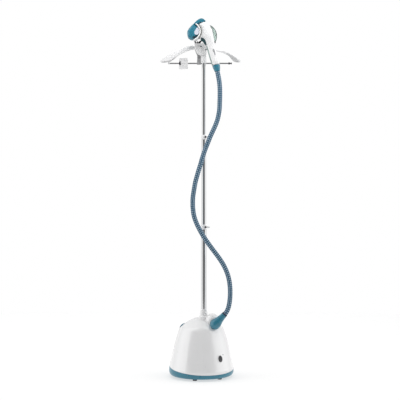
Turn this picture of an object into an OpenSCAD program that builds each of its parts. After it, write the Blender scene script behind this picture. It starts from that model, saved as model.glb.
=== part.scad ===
// Garment steamer: base with boiler and lift-off tank, telescopic mast, folding hanger,
// steam handset and hose. Millimetres, +Z up, floor at z = 0, -Y towards the user.

/* [Base] */
// Largest radius of the base
base_r = 147.5; // [140:0.5:150]
// Height of the base's underside above the floor
base_z = 7.6; // [6:0.2:9]
// Wall of the mouldings of the base
wall = 3; // [2:0.5:4]
// Height of the seam between the lower and upper casing, on the axis
seam_z = 46; // [44:0.2:47]
// Tilt of that seam, falling towards the front
seam_tilt = 6.8; // [6:0.2:7]
// Radius of the circle that the feet stand on
foot_circle = 112; // [90:1:118]

/* [Tank] */
// Half of the sector that the water tank fills, in degrees
tank_half = 54.5; // [40:0.5:56]
// Inner radius of the tank, from the axis of the base
tank_r = 61; // [58:1:70]
// Height of the tank's floor
tank_z = 63; // [61:1:80]

/* [Mast] */
// Outer radius of the lower mast tube
low_tube_r = 12.5; // [12.2:0.1:12.6]
// Outer radius of the middle mast tube
mid_tube_r = 10.7; // [10.4:0.1:10.8]
// Outer radius of the top mast tube
top_tube_r = 9; // [8.8:0.1:9.1]
// Wall of the mast tubes
tube_wall = 0.8; // [0.6:0.1:1]
// Height of the lower clamp's centre
low_clamp_z = 682; // [600:1:700]
// Height of the upper clamp's centre
top_clamp_z = 1091; // [1060:1:1110]

/* [Hanger] */
// Height of the wing hinges
wing_hinge_z = 1497; // [1494:1:1499]
// Distance of each wing hinge from the middle
wing_hinge_x = 24; // [23:0.5:25]
// Radius of the trouser rod
rod_r = 3; // [2.5:0.1:3.2]
// Height of the trouser rod
rod_z = 1430; // [1428:1:1431]

/* [Handset and hose] */
// Radius of the hose
hose_r = 11; // [9:0.5:11]
// Half thickness of the handle
handle_half = 18; // [16:0.5:20]
// Half thickness of the steam head
head_half = 26; // [22:0.5:28]

/* [Hidden] */
$fn = 64;
base_x = 4;                  // axis of the base
mast = [15, -20];            // axis of the mast
hub = [66, -80, 246.5];      // middle of the hose elbow
hub_r = 23;
arm_tilt = 43;               // the hose leaves the elbow this far from upright
arm_len = 58;
hand_y = -82;                // middle plane of the handset
cuff_tilt = 12;              // tilt of the hose where it enters the handle
cuff_top = [70, hand_y, 1409];
cuff_len = 26;
seam_azimuth = -72;          // the seam is lowest on this side
seam_top = 49;               // and it stays level at this height round the back
tank_azimuth = 208;          // middle of the tank, from the front towards the right
tank_neck = [-43, 88];       // axis of the tank's neck
button_azimuth = 38;
button_z = 96;
lean = 11.7;                 // the casing leans in by this much at the button
foot_azimuths = [-15, 47, 151, 241];
screw_azimuths = [10, 95, 180, 285];
screw_seat = 2.4;            // depth of the screw heads' seats in the floor
boiler = [-28, -50];
boiler_r = 32;
steam_pipe_y = -50;
floor_z = base_z + wall;
ring_c = [-41.3, 1557.6];    // middle of the ring round the steam head
ring_r = 42.3;
ring_w = 6;
cradle_y = -62;              // front of the ledge that carries the cradle
rod_y = 2;
brush_c = [20.3, 1557];      // centre of the curve of the brush
brush_r = 55.3;
clip_x = -98;
clip_w = 40;
clip_bore = rod_r + 0.08;
clip_low = rod_z - 26.5;
clip_high = rod_z + 23.5;

// Outline of the base: radius and height
casing_profile = concat([[130, base_z], [136.5, base_z + 1.1], [141.5, base_z + 4.4], [145.3, 17.5],
    [147.2, 24], [base_r, 32], [base_r, 40], [145, 50], [139.4, 80], [133, 108], [126, 138],
    [118, 167], [108.5, 197]], eased(eased([[103, 213], [98.5, 222.5], [92.5, 229.5], [84.5, 236],
    [74, 243], [60, 251.5]])), [[36, 264], [18, 269], [0, 270]]);

// The same run of points with its corners cut to a smoother curve
function eased(p) = concat([p[0]], [for (i = [0 : len(p) - 2]) each
    [0.75 * p[i] + 0.25 * p[i + 1], 0.25 * p[i] + 0.75 * p[i + 1]]], [p[len(p) - 1]]);

// Outline of the middle of the hanger
head_outline = [[-28, 1492], [-25, 1487], [-14.6, 1469], [-4, 1463], [2.5, 1460], [27.5, 1460],
    [28, 1492], [28, 1512], [27, 1515.8], [24.5, 1518.2], [21, 1519], [-21, 1519], [-24.5, 1518.2],
    [-27, 1515.8], [-28, 1512]];

// Cross-sections of a wing: distance out, top, bottom and half depth
wing_sections = [[34, 1509, 1489, 6], [47, 1506.5, 1488, 6], [52, 1505.5, 1486.5, 11], [76, 1500, 1478, 13],
    [100, 1493, 1466, 15], [120, 1485.5, 1449, 18.5], [137, 1477, 1438, 21.5], [155, 1468.5, 1434, 23],
    [170, 1461, 1433, 23], [178, 1453, 1433.5, 21], [182.5, 1441, 1435, 17]];

// Outlines of the handset: X and Z
head_side = [[-16, 1590], [-9, 1592], [-2, 1599], [3, 1617], [12, 1616.4], [21, 1609], [29.6, 1596],
    [41.7, 1580], [51.5, 1565], [57, 1545], [61.5, 1518], [22, 1518], [14, 1530], [4, 1533], [-12, 1530]];
handle_side = [[22, 1520], [61, 1520], [63.2, 1507], [75, 1458], [88, 1412.8], [52, 1405.2],
    [37, 1456], [26, 1492]];
cover_side = [[-28.6, 1597], [-27.5, 1590], [-54.8, 1558.6], [-59.3, 1545.7], [-54.3, 1531.3], [-46, 1525],
    [-37.7, 1522], [-28, 1521], [0, 1521], [0, 1597]];
top_side = [[-21, 1597.5], [-11.3, 1611], [-4, 1616], [5.5, 1619], [5.5, 1600], [-3, 1596], [-12, 1592]];
trigger_side = [[0, 1530], [0, 1522], [7, 1516], [13, 1511], [18, 1504], [20, 1499], [29, 1499],
    [30, 1512], [25, 1524], [21, 1538], [13, 1538], [6, 1534]];
trigger_slot = [[-4, 1526], [12, 1510], [19, 1496], [38, 1496], [38, 1514], [33, 1528], [26, 1542],
    [10, 1542], [-4, 1534]];
trigger_pivot = [17, 1535];
lock_at = [60, 1468];
lock_tilt = 15.8;

// Inner part of the brush: its inner edge, then back along the frame
brush_pad = concat([[62, 1532], [57, 1538], [54, 1547], [54.5, 1558], [57, 1570], [56.5, 1581],
    [53, 1592], [46, 1600]], [for (a = [60 : -8 : -28]) brush_c + (brush_r - 4.5) * [cos(a), sin(a)]]);

// Route of the hose from the elbow to halfway up, then on into the handle
hose_low_route = [[106, -80, 289], [113, -80, 297], [121, -80, 311], [127, -80, 329], [131, -80, 352],
    [133, -80, 378], [133, -80, 404], [131, -80, 428], [127, -80, 452], [120, -80, 476],
    [110, -80, 500], [97, -80, 524], [81, -80, 548], [63, -80, 572], [45, -80, 596],
    [28, -80, 620], [12, -80, 644], [-2, -80, 668], [-14, -80, 692], [-24, -80, 716],
    [-31, -80, 742], [-34, -80, 767], [-35, -80, 780], [-35, -80, 790]];
hose_top_route = [[-35, -80, 790], [-35, -80, 800], [-34, -80, 818], [-31, -80, 840], [-27, -80, 865],
    [-22, -80, 890], [-15, -80, 915], [-8, -80, 940], [0, -80, 965], [7, -80, 990], [15, -80, 1015],
    [24, -80, 1040], [34, -80, 1065], [44, -80, 1090], [55, -80, 1114], [66, -80, 1138],
    [75, -80, 1162], [81, -81, 1187], [85, -81, 1213], [86, -81, 1240], [87, -82, 1268],
    [87, -82, 1295], [86, -82, 1320], [83, -82, 1344], [79, -82, 1366], [75, -82, 1385],
    [66, -82, 1427.5]];

// ---------- helpers ----------

// Place children at a bearing round the base, from the front towards the right
module around(azimuth, r = 0, z = 0) {
    translate([base_x, 0, 0]) rotate([0, 0, azimuth - 90]) translate([r, 0, z]) children();
}

// Extrude an outline drawn in X and Z from y0 to y1
module slab(points, y0, y1) {
    translate([0, y1, 0]) rotate([90, 0, 0]) linear_extrude(y1 - y0) polygon(points);
}

// The same outline drawn in by a distance
module inset_slab(points, inset, y0, y1) {
    translate([0, y1, 0]) rotate([90, 0, 0]) linear_extrude(y1 - y0) offset(delta = -inset) polygon(points);
}

// Cylinder along Y through a point in X and Z
module peg_y(at, r, y0, y1) {
    translate([at[0], y1, at[1]]) rotate([90, 0, 0]) cylinder(r = r, h = y1 - y0);
}

// Cylinder along X through a point in Y and Z
module peg_x(at, r, x0, x1) {
    translate([x0, at[0], at[1]]) rotate([0, 90, 0]) cylinder(r = r, h = x1 - x0);
}

module at_mast() {
    translate([mast[0], mast[1], 0]) children();
}

module tube(r, bore, z0, z1) {
    translate([0, 0, z0]) difference() {
        cylinder(r = r, h = z1 - z0);
        translate([0, 0, -1]) cylinder(r = bore, h = z1 - z0 + 2);
    }
}

// A pipe through given points, with round elbows
module pipe(points, r) {
    for (i = [0 : len(points) - 2]) {
        run = points[i + 1] - points[i];
        translate(points[i]) rotate([0, acos(run[2] / norm(run)), atan2(run[1], run[0])])
            cylinder(r = r, h = norm(run));
        if (i > 0) translate(points[i]) sphere(r = r);
    }
}

// Rings of a tube swept along points that lie near one plane of constant Y
function along(p, i) = let (a = p[max(i - 1, 0)], b = p[min(i + 1, len(p) - 1)]) (b - a) / norm(b - a);
function ring(p, i, r, n) = let (t = along(p, i), side = cross([0, 1, 0], t) / norm(cross([0, 1, 0], t)))
    [for (k = [0 : n - 1]) p[i] + r * (cos(360 * k / n) * side + sin(360 * k / n) * cross(t, side))];

// Triangles between neighbouring rings of n points
function skin_faces(rings, n) = [for (i = [0 : rings - 2]) for (k = [0 : n - 1])
    let (a = i * n + k, b = i * n + (k + 1) % n) each [[a, a + n, b + n], [a, b + n, b]]];

module swept_tube(p, r, n = 10) {
    points = [for (i = [0 : len(p) - 1]) each ring(p, i, r, n)];
    last = (len(p) - 1) * n;
    polyhedron(points, concat([[for (k = [0 : n - 1]) k]], skin_faces(len(p), n),
        [[for (k = [n - 1 : -1 : 0]) last + k]]));
}

// A body lofted through cross-sections that have the same number of points
module loft(sections) {
    n = len(sections[0]);
    last = (len(sections) - 1) * n;
    polyhedron([for (s = sections) each s], concat([[for (k = [0 : n - 1]) k]],
        skin_faces(len(sections), n), [[for (k = [n - 1 : -1 : 0]) last + k]]));
}

// ---------- base ----------

// The whole outer shape of the base, drawn in and down by an inset
module base_solid(inset = 0) {
    points = [for (p = casing_profile) [max(p[0] - inset, 0), p[1] - (p[1] > 100 ? inset : 0)]];
    translate([base_x, 0, 0]) rotate_extrude() polygon(concat([[0, inset > 0 ? floor_z : base_z]],
        inset > 0 ? [[130, floor_z], [138, floor_z + 2], [142, 18]] : [],
        [for (p = points) if (inset == 0 || p[1] > 22) p]));
}

// Everything above the seam, or below it when up is 0
module above_seam(shift = 0, up = 1) {
    module tilted() {
        translate([base_x, 0, seam_z + shift]) rotate([0, seam_tilt, seam_azimuth])
            translate([-200, -200, up ? 0 : -300]) cube([400, 400, 300]);
    }
    module level() {
        translate([-200, -200, seam_top + shift - (up ? 0 : 300)]) cube([400, 400, 300]);
    }
    if (up) {
        tilted();
        level();
    } else intersection() {
        tilted();
        level();
    }
}

module sector(half, r0, z0, z1, r1 = 160) {
    around(tank_azimuth) rotate([0, 0, -half])
        rotate_extrude(angle = 2 * half) translate([r0, z0]) square([r1 - r0, z1 - z0]);
}

module tank_recess(w = 0) {
    sector(56 + w, tank_r - 2 - w, 60 - w, 300);
    translate([tank_neck[0], tank_neck[1], 40 - w]) cylinder(r = 30 + w, h = 30);
    sector(67 + w, 76.6 - w, 222 - w, 300);
}

module hub_space(grow) {
    peg_y([hub[0], hub[2]], hub_r + grow, -120, -58 + (grow > 2 ? 3 : 0));
}

// Oval prism, upright on the casing
module oval(wide, high, z0, z1) {
    translate([0, 0, z0]) scale([high / wide, 1, 1]) cylinder(d = wide, h = z1 - z0);
}

module at_button() {
    around(button_azimuth, 135.5, button_z) rotate([0, 90 - lean, 0]) children();
}

module at_lens() {
    around(47, 132.2, 112) rotate([0, 90 - lean, 0]) children();
}

module at_gland() {
    around(120, 141, 70) rotate([0, 90 - lean, 0]) children();
}

module upper_casing() {
    color("white") difference() {
        union() {
            difference() {
                base_solid();
                base_solid(wall);
            }
            intersection() {
                base_solid();
                union() {
                    tank_recess(wall);
                    hub_space(wall);
                }
            }
            at_mast() translate([0, 0, 240]) cylinder(r = 24, h = 34);
            difference() {
                translate([54, -34, 256]) sphere(r = 34);
                translate([54, -34, 256]) sphere(r = 34 - wall);
                base_solid(wall - 0.1);
            }
            peg_y([hub[0], hub[2]], 16, -61, -40);
        }
        tank_recess();
        hub_space(1);
        above_seam(0, 0);
        at_mast() translate([0, 0, 200]) cylinder(r = 17.8, h = 100);
        peg_y([hub[0], hub[2]], 12, -70, -30);
        translate([hub[0], steam_pipe_y, hub[2] - 20]) cylinder(r = 5, h = 12);
        at_mast() translate([0, 0, 274]) cylinder(r = 23.2, h = 12);
        at_button() oval(24, 32, -12, 5);
        at_button() oval(28, 36, -1.5, 5);
        at_lens() translate([0, 0, -10]) cylinder(r = 2.5, h = 15);
        at_gland() translate([0, 0, -10]) cylinder(r = 6, h = 20);
        translate([tank_neck[0], tank_neck[1], 30]) cylinder(r = 4.5, h = 20);
    }
}

module lower_casing() {
    color("steelblue") difference() {
        union() {
            difference() {
                base_solid();
                base_solid(wall);
                above_seam(-0.6);
            }
            for (a = screw_azimuths) around(a, 122, floor_z - 1) cylinder(r = 5, h = 14);
        }
        for (a = screw_azimuths) around(a, 122, base_z) {
            translate([0, 0, -1]) cylinder(r = 1.8, h = 30);
            translate([0, 0, -1]) cylinder(r = 3.6, h = screw_seat + 1);
        }
        translate([boiler[0], boiler[1], base_z - 1]) cylinder(r = 8, h = 10);
        for (i = [-3 : 3]) translate([base_x + 55 + 6 * i, -5, base_z - 1]) cube([3, 44, 10]);
    }
}

module base_feet() {
    color("dimgray") for (a = foot_azimuths) around(a, foot_circle) cylinder(r1 = 9.5, r2 = 11, h = base_z);
}

module base_screws() {
    color("silver") for (a = screw_azimuths) around(a, 122, base_z) {
        translate([0, 0, screw_seat - 2]) cylinder(r = 3.6, h = 2);
        translate([0, 0, screw_seat - 2]) cylinder(r = 1.8, h = 14);
    }
}

module drain_plug() {
    color("gray") translate([boiler[0], boiler[1], base_z]) difference() {
        union() {
            translate([0, 0, -2]) cylinder(r = 8, h = 8);
            translate([0, 0, -3.6]) cylinder(r = 11, h = 3.6);
        }
        translate([-7, -1, -4.6]) cube([14, 2, 3]);
    }
}

module mast_socket() {
    color("gainsboro") at_mast() difference() {
        translate([0, 0, floor_z]) cylinder(r = 17, h = 261 - floor_z);
        translate([0, 0, 60]) cylinder(r = low_tube_r, h = 210);
        translate([0, 0, floor_z + 5]) cylinder(r = 8, h = 60);
    }
}

// Ribbed collar that the mast stands in
module mast_collar() {
    color("white") at_mast() rotate_extrude() polygon([[low_tube_r, 262], [17.8, 262], [17.8, 274],
        [23, 274], [20, 277], [18, 281.4], [15.4, 282], [15.4, 283.4], [17.2, 284], [16.6, 287.8],
        [14.8, 288.2], [14.8, 289.6], [16.4, 290.2], [15.8, 294.6], [14.2, 295], [14.2, 296.4],
        [15.4, 297], [14.9, 301], [13.8, 301.4], [13.8, 302.8], [14.4, 303.4], [14, 309.4], [13.4, 310],
        [low_tube_r, 310]]);
}

module boiler_body() {
    color("silver") translate([boiler[0], boiler[1], 0]) difference() {
        union() {
            translate([0, 0, 42]) cylinder(r = boiler_r, h = 66);
            for (a = [30, 150, 270]) rotate([0, 0, a]) translate([26, 0, floor_z])
                cylinder(r = 4, h = 44 - floor_z);
        }
        translate([0, 0, 47]) cylinder(r = boiler_r - 5, h = 56);
        translate([8, 0, 100]) cylinder(r = 5, h = 10);
    }
}

module heating_element() {
    color("brown") translate([boiler[0], boiler[1], 38.5]) {
        rotate_extrude(angle = 300) translate([18, 0]) circle(r = 3.5);
        for (a = [0, 300]) rotate([0, 0, a]) translate([18, 0, -9]) cylinder(r = 2, h = 9);
    }
}

module thermostat() {
    color("black") translate([boiler[0] - 14, boiler[1], 108]) {
        cylinder(r = 9, h = 8);
        for (side = [-1, 1]) translate([-1, side * 4 - 2, 8]) cube([2, 4, 8]);
    }
}

module steam_pipe() {
    color("gainsboro") pipe([[-20, steam_pipe_y, 103], [-20, steam_pipe_y, 190],
        [hub[0], steam_pipe_y, 190], [hub[0], steam_pipe_y, hub[2] - 11.9]], 5);
}

module water_inlet_pipe() {
    color("gainsboro") pipe([[tank_neck[0], tank_neck[1], 37], [tank_neck[0], tank_neck[1], 28],
        [-30, -6, 28], [-30, -6, 60], [-30, -18, 60]], 4.4);
}

module button_bezel() {
    color("white") at_button() difference() {
        union() {
            oval(28, 36, -1.5, 1.4);
            oval(24, 32, -8, 0);
        }
        oval(21.8, 29.8, -9, 3);
    }
}

module power_button() {
    color("dimgray") at_button() difference() {
        oval(21, 29, -6, 3);
        translate([0, 0, 42]) sphere(r = 40.2);
    }
}

module microswitch() {
    color("black") at_button() {
        translate([-14, -7, -22]) cube([28, 14, 12]);
        translate([-13, -9, -10.4]) cube([26, 18, 0.8]);
    }
}

module indicator_lens() {
    color("lightblue") at_lens() {
        translate([0, 0, -4]) cylinder(r = 2.5, h = 4);
        intersection() {
            translate([0, 0, -1.6]) sphere(r = 3);
            cylinder(r = 2.5, h = 3);
        }
    }
}

module cord_gland() {
    color("dimgray") at_gland() difference() {
        union() {
            translate([0, 0, -8]) cylinder(r = 6, h = 14);
            translate([0, 0, 1.2]) cylinder(r = 9, h = 3);
        }
        translate([0, 0, -9]) cylinder(r = 3.6, h = 20);
    }
}

module hose_port() {
    color("gray") difference() {
        peg_y([hub[0], hub[2]], 12, -74, -36);
        peg_y([hub[0], hub[2]], 8, -75, -38);
    }
}

module at_arm() {
    translate(hub) rotate([0, arm_tilt, 0]) children();
}

module hose_elbow() {
    color("steelblue") difference() {
        union() {
            peg_y([hub[0], hub[2]], hub_r, hub[1], -59);
            translate(hub) sphere(r = hub_r);
            at_arm() rotate_extrude() polygon([[0, 0], [22.6, 4], [21.6, 12], [19.6, 20], [17, 28],
                [15.4, 34], [0, 34]]);
        }
        peg_y([hub[0], hub[2]], 12, -74, -50);
        at_arm() cylinder(r = 8, h = 40);
    }
}

module hose_sleeve() {
    color("cadetblue") at_arm() difference() {
        rotate_extrude() polygon([[8, 34], [16, 34], [16, 36.5], [15, 37], [14.4, 46], [13.6, 47],
            [13.6, 49], [14, 50], [13.4, arm_len], [8, arm_len]]);
        translate([0, 0, 33]) cylinder(r = 8, h = 30);
    }
}

module hose_lower() {
    color("steelblue") swept_tube(hose_low_route, hose_r);
}

module hose_upper() {
    color("steelblue") swept_tube(hose_top_route, hose_r);
}

// ---------- tank ----------

module tank_body(inset, half) {
    points = concat([for (p = casing_profile) if (p[1] > tank_z + 10 && p[1] < 220)
        [p[0] - inset - 0.2, p[1]]],
        [[98.5 - inset, 222 - inset], [77 - inset, 222 - inset], [77 - inset, 240.6 - inset]]);
    around(tank_azimuth) rotate([0, 0, -half]) rotate_extrude(angle = 2 * half)
        polygon(concat([[tank_r + inset, tank_z + inset], [142.2 - inset, tank_z + inset]], points,
            [[tank_r + inset, 250.4 - inset]]));
}

module water_tank() {
    color("mediumturquoise", 0.6) difference() {
        union() {
            difference() {
                tank_body(0, tank_half);
                tank_body(2.5, tank_half - 1.6);
            }
            translate([tank_neck[0], tank_neck[1], 46.5]) cylinder(r = 22, h = 18);
        }
        translate([tank_neck[0], tank_neck[1], 40]) cylinder(r = 18, h = 30);
    }
}

module tank_rim() {
    color("steelblue") around(tank_azimuth) rotate([0, 0, -66]) rotate_extrude(angle = 132)
        polygon([[77.4, 222.4], [98.9, 222.4], [98.5, 224], [95, 231], [90, 235.8], [84, 239],
            [80, 240], [77.4, 241]]);
}

module tank_cap() {
    color("dimgray") translate([tank_neck[0], tank_neck[1], 0]) difference() {
        union() {
            translate([0, 0, 43]) cylinder(r = 26, h = 19);
            for (a = [0 : 30 : 330]) rotate([0, 0, a]) translate([26, 0, 43]) cylinder(r = 1.5, h = 19);
        }
        translate([0, 0, 46]) cylinder(r = 22.3, h = 20);
        translate([0, 0, 40]) cylinder(r = 5.3, h = 10);
    }
}

module tank_valve() {
    color("white") translate([tank_neck[0], tank_neck[1], 0]) {
        translate([0, 0, 41]) cylinder(r = 5, h = 16);
        translate([0, 0, 46.3]) cylinder(r = 9, h = 2.5);
    }
}

// ---------- mast ----------

module mast_lower_tube() {
    color("silver") at_mast() tube(low_tube_r, low_tube_r - tube_wall, 60, low_clamp_z + 4);
}

module mast_mid_tube() {
    color("silver") at_mast() tube(mid_tube_r, mid_tube_r - tube_wall, 600, top_clamp_z + 4);
}

module mast_top_tube() {
    color("silver") at_mast() tube(top_tube_r, top_tube_r - tube_wall, 1010, 1478);
}

module mid_tube_bush() {
    color("dimgray") at_mast() tube(low_tube_r - tube_wall - 0.08, mid_tube_r, 600, 625);
}

module top_tube_bush() {
    color("dimgray") at_mast() tube(mid_tube_r - tube_wall - 0.08, top_tube_r, 1010, 1035);
}

// Collar on the end of a tube, with a boss for the lever's pin
module clamp_collar(tube_r, next_r, r, z) {
    color("white") difference() {
        union() {
            at_mast() translate([0, 0, z - 11]) cylinder(r = r, h = 22);
            translate([mast[0] + 1, mast[1] - 15, z - 6.5]) cube([12, 11, 13]);
        }
        at_mast() translate([0, 0, z - 12]) cylinder(r = tube_r, h = 16);
        at_mast() translate([0, 0, z - 12]) cylinder(r = next_r + 0.08, h = 30);
        peg_y([mast[0] + 7, z], 2.4, -60, mast[1] - 12);
    }
}

module clamp_pin(z) {
    color("gray") {
        peg_y([mast[0] + 7, z], 2.4, -42, mast[1] - 12);
        peg_y([mast[0] + 7, z], 4.5, -42.2, -40.2);
    }
}

module clamp_lever(z) {
    color("lightgray") difference() {
        union() {
            peg_y([mast[0] + 7, z], 6.5, -39.8, -35.4);
            translate([mast[0] + 7, -39.8, z - 4]) cube([17, 4.4, 8]);
            peg_y([mast[0] + 24, z], 4, -39.8, -35.4);
        }
        peg_y([mast[0] + 7, z], 2.46, -45, -30);
    }
}

// ---------- hanger ----------

module head_shell(y0, y1, inner0, inner1) {
    color("white") difference() {
        union() {
            difference() {
                slab(head_outline, y0, y1);
                inset_slab(head_outline, 2.5, inner0, inner1);
            }
            for (side = [-1, 1]) peg_y([side * wing_hinge_x * 0.98, wing_hinge_z], 5.5,
                max(y0 + 1, inner0 - 8), min(y1 - 1, inner1 + 8));
        }
        for (side = [-1, 1]) {
            translate([side * 22.5 - 9.5, mast[1] - 6.8, 1480.5]) cube([19, 13.6, 50]);
            peg_y([side * wing_hinge_x, wing_hinge_z], 3, -33.5, -6.5);
        }
        at_mast() translate([0, 0, 1440]) cylinder(r = 10.3, h = 40.3);
    }
}

module head_front_shell() {
    head_shell(-36, -20.1, -33.5, -19);
    color("white") translate([-27, cradle_y, 1509]) cube([27, -35.5 - cradle_y, 7.5]);
}

module head_rear_shell() {
    head_shell(-19.9, -4, -21, -6.5);
}

module head_socket() {
    color("white") at_mast() difference() {
        union() {
            translate([0, 0, 1428]) cylinder(r = 12, h = 31.8);
            translate([0, 0, 1459]) cylinder(r = 10.3, h = 21);
        }
        translate([0, 0, 1426]) cylinder(r = top_tube_r, h = 52);
    }
}

module wing_pins() {
    color("silver") for (side = [-1, 1]) peg_y([side * wing_hinge_x, wing_hinge_z], 3, -33.5, -6.5);
}

function arch(s, inset, drop) = [for (q = [[1, 0], [1, 0.45], [0.88, 0.78], [0.55, 0.95], [0, 1],
    [-0.55, 0.95], [-0.88, 0.78], [-1, 0.45], [-1, 0]])
    [s[0], mast[1] + q[0] * (s[3] - inset), s[2] - drop + q[1] * (s[1] - s[2] - inset + drop)]];

module wing_half() {
    difference() {
        union() {
            difference() {
                loft([for (s = wing_sections) arch(s, 0, 0)]);
                loft([for (i = [5 : 8]) arch(wing_sections[i], 2.8, 6)]);
            }
            translate([wing_hinge_x, mast[1] - 6, wing_hinge_z - 7.8]) cube([20, 12, 15.6]);
            peg_y([wing_hinge_x, wing_hinge_z], 7.8, mast[1] - 6, mast[1] + 6);
        }
        peg_y([wing_hinge_x, wing_hinge_z], 3.06, mast[1] - 10, mast[1] + 10);
    }
}

module wing_right() {
    color("white") wing_half();
}

module wing_left() {
    color("white") mirror([1, 0, 0]) wing_half();
}

module rod_post() {
    color("gray") difference() {
        slab([[-25, 1488], [-25, 1500], [0, 1500], [0, 1478], [2, 1462], [2, 1424], [-17, 1424],
            [-15.6, 1440], [-14.6, 1464]], -4, 7);
        peg_x([rod_y, rod_z], rod_r, -40, 20);
    }
}

module trouser_rod() {
    color("dimgray") peg_x([rod_y, rod_z], rod_r, -146, 141);
}

module rod_end_cap() {
    color("white") difference() {
        peg_x([rod_y, rod_z], 4.4, -149, -139);
        peg_x([rod_y, rod_z], rod_r, -146, -130);
    }
}

module rod_stop_ring() {
    color("black") {
        difference() {
            peg_x([rod_y, rod_z], 5, 128, 134);
            peg_x([rod_y, rod_z], rod_r, 120, 140);
        }
        difference() {
            peg_x([rod_y, rod_z], 4, 138, 143.5);
            peg_x([rod_y, rod_z], rod_r, 120, 141);
        }
    }
}

// Fixed half of the trouser clip, threaded on the rod
// A plate of the clip, cut away round the black boss on the clip's left end; out is -1 in front
module clip_plate(out, low) {
    y = rod_y + out * 6.8;
    difference() {
        translate([clip_x, y - 1.2, low]) cube([clip_w, 2.4, clip_high - low]);
        translate([clip_x - 1, y - 3, rod_z - 9.6]) cube([10.4, 6, 19.2]);
    }
    translate([clip_x, out > 0 ? rod_y + 0.3 : y, low]) cube([clip_w, 6.5, 5]);
    for (i = [0 : 5]) translate([clip_x + 2 + 7 * i, y + out * 1.6 - 0.6, low + 3]) difference() {
        cube([2, 1.2, clip_high - low - 6]);
        if (i < 2) translate([-1, -1, rod_z - low - 12.6]) cube([4, 4, 19.2]);
    }
}

module clip_back() {
    color("white") difference() {
        union() {
            clip_plate(1, clip_low + 2);
            peg_x([rod_y, rod_z], 9, clip_x, clip_x + 9);
            peg_x([rod_y, rod_z], 5.2, clip_x + clip_w - 9, clip_x + clip_w);
            translate([clip_x + clip_w - 9, rod_y, rod_z - 4]) cube([9, 6, 8]);
            translate([clip_x + 2, rod_y + 4, rod_z - 12]) cube([7, 3, 24]);
        }
        peg_x([rod_y, rod_z], clip_bore, clip_x - 5, clip_x + clip_w + 5);
    }
}

module clip_jaw() {
    color("white") difference() {
        union() {
            clip_plate(-1, clip_low);
            peg_x([rod_y, rod_z], 5.2, clip_x + 10, clip_x + clip_w - 10);
            translate([clip_x + 10, rod_y - 6, rod_z - 4]) cube([clip_w - 20, 6, 8]);
        }
        peg_x([rod_y, rod_z], clip_bore, clip_x - 5, clip_x + clip_w + 5);
    }
}

// Pegs in front of the hanger that the handset hangs on
module handset_cradle() {
    color("black") {
        for (x = [-23.4, -13.4]) peg_y([x, 1514], 3, -84, cradle_y);
        slab([[-9.6, 1511], [-2, 1511], [4.6, 1518], [4.6, 1524], [-1, 1523], [-9.6, 1517]], -70, cradle_y);
    }
}

module brush_holder() {
    color("white") {
        translate([18, -4, 1506]) cube([9, 8.6, 11]);
        slab([[18, 1506], [28, 1506], [70, 1514], [70, 1522], [26, 1517], [18, 1517]], 4.4, 12);
        translate([65, 8.2, 1521]) cylinder(r = 2, h = 9);
    }
}

module brush_frame() {
    color("darkseagreen") difference() {
        union() {
            translate([brush_c[0], 8.4, brush_c[1]]) rotate([-90, 0, 0]) rotate([0, 0, -64])
                rotate_extrude(angle = 96) translate([brush_r - 5, 0]) square([5, 16]);
            slab(brush_pad, 9.9, 22.9);
            translate([60.5, 4.4, 1522.4]) cube([9, 8, 8.6]);
        }
        translate([65, 8.2, 1515]) cylinder(r = 2.3, h = 15.4);
    }
}

// ---------- handset ----------

module along_cuff() {
    translate(cuff_top) rotate([0, -cuff_tilt, 0]) children();
}

// Half of the handset's body: side is -1 at the front and 1 at the rear
module handset_shell(side) {
    y_head = hand_y + side * head_half;
    y_handle = hand_y + side * handle_half;
    seam = hand_y + side * 0.1;
    in = side * 2.5;
    boss = hand_y + side * 8.8;
    color("white") difference() {
        union() {
            difference() {
                union() {
                    slab(head_side, min(seam, y_head), max(seam, y_head));
                    slab(handle_side, min(seam, y_handle), max(seam, y_handle));
                }
                inset_slab(head_side, 2.5,
                    min(hand_y - side, y_head - in), max(hand_y - side, y_head - in));
                inset_slab(handle_side, 2.5,
                    min(hand_y - side, y_handle - in), max(hand_y - side, y_handle - in));
                slab([[22, 1500], [57, 1500], [54, 1535], [20, 1535]],
                    hand_y - handle_half + 2.6, hand_y + handle_half - 2.6);
            }
            peg_y(trigger_pivot, 4.5, min(boss, y_head - in), max(boss, y_head - in));
        }
        peg_y(trigger_pivot, 2.06, hand_y - 14, hand_y + 14);
        peg_y(ring_c, ring_r + 0.3, -120, -40);
        slab(trigger_slot, hand_y - 8.6, hand_y + 8.6);
        slab(top_side, -120, -40);
        slab([[5.5, 1619.5], [5.5, 1600], [21, 1602], [21, 1619.5]], -120, -40);
        along_cuff() translate([0, 0, -5]) cylinder(r = 11.6, h = 30);
        if (side < 0) translate([lock_at[0], 0, lock_at[1]]) rotate([0, -lock_tilt, 0])
            translate([-3, -110, -14]) cube([6, 14, 28]);
    }
}

module handset_front_shell() {
    handset_shell(-1);
}

module handset_rear_shell() {
    handset_shell(1);
}

// Teal cover of the steam head, with the cap that runs over the top
module steam_head_cover() {
    color("steelblue") {
        difference() {
            intersection() {
                slab(cover_side, hand_y - 28, hand_y + 28);
                peg_y(ring_c, ring_r - ring_w - 0.1, -120, -40);
            }
            intersection() {
                inset_slab(cover_side, 2.5, hand_y - 25.5, hand_y + 25.5);
                peg_y(ring_c, ring_r - ring_w - 2.5, -120, -40);
            }
        }
        difference() {
            slab(top_side, hand_y - head_half, hand_y + head_half);
            peg_y(ring_c, ring_r + 0.1, -120, -40);
        }
        slab([[5.5, 1619], [5.5, 1602], [19, 1604], [20.6, 1609], [14, 1616]],
            hand_y - head_half, hand_y + head_half);
    }
}

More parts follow.
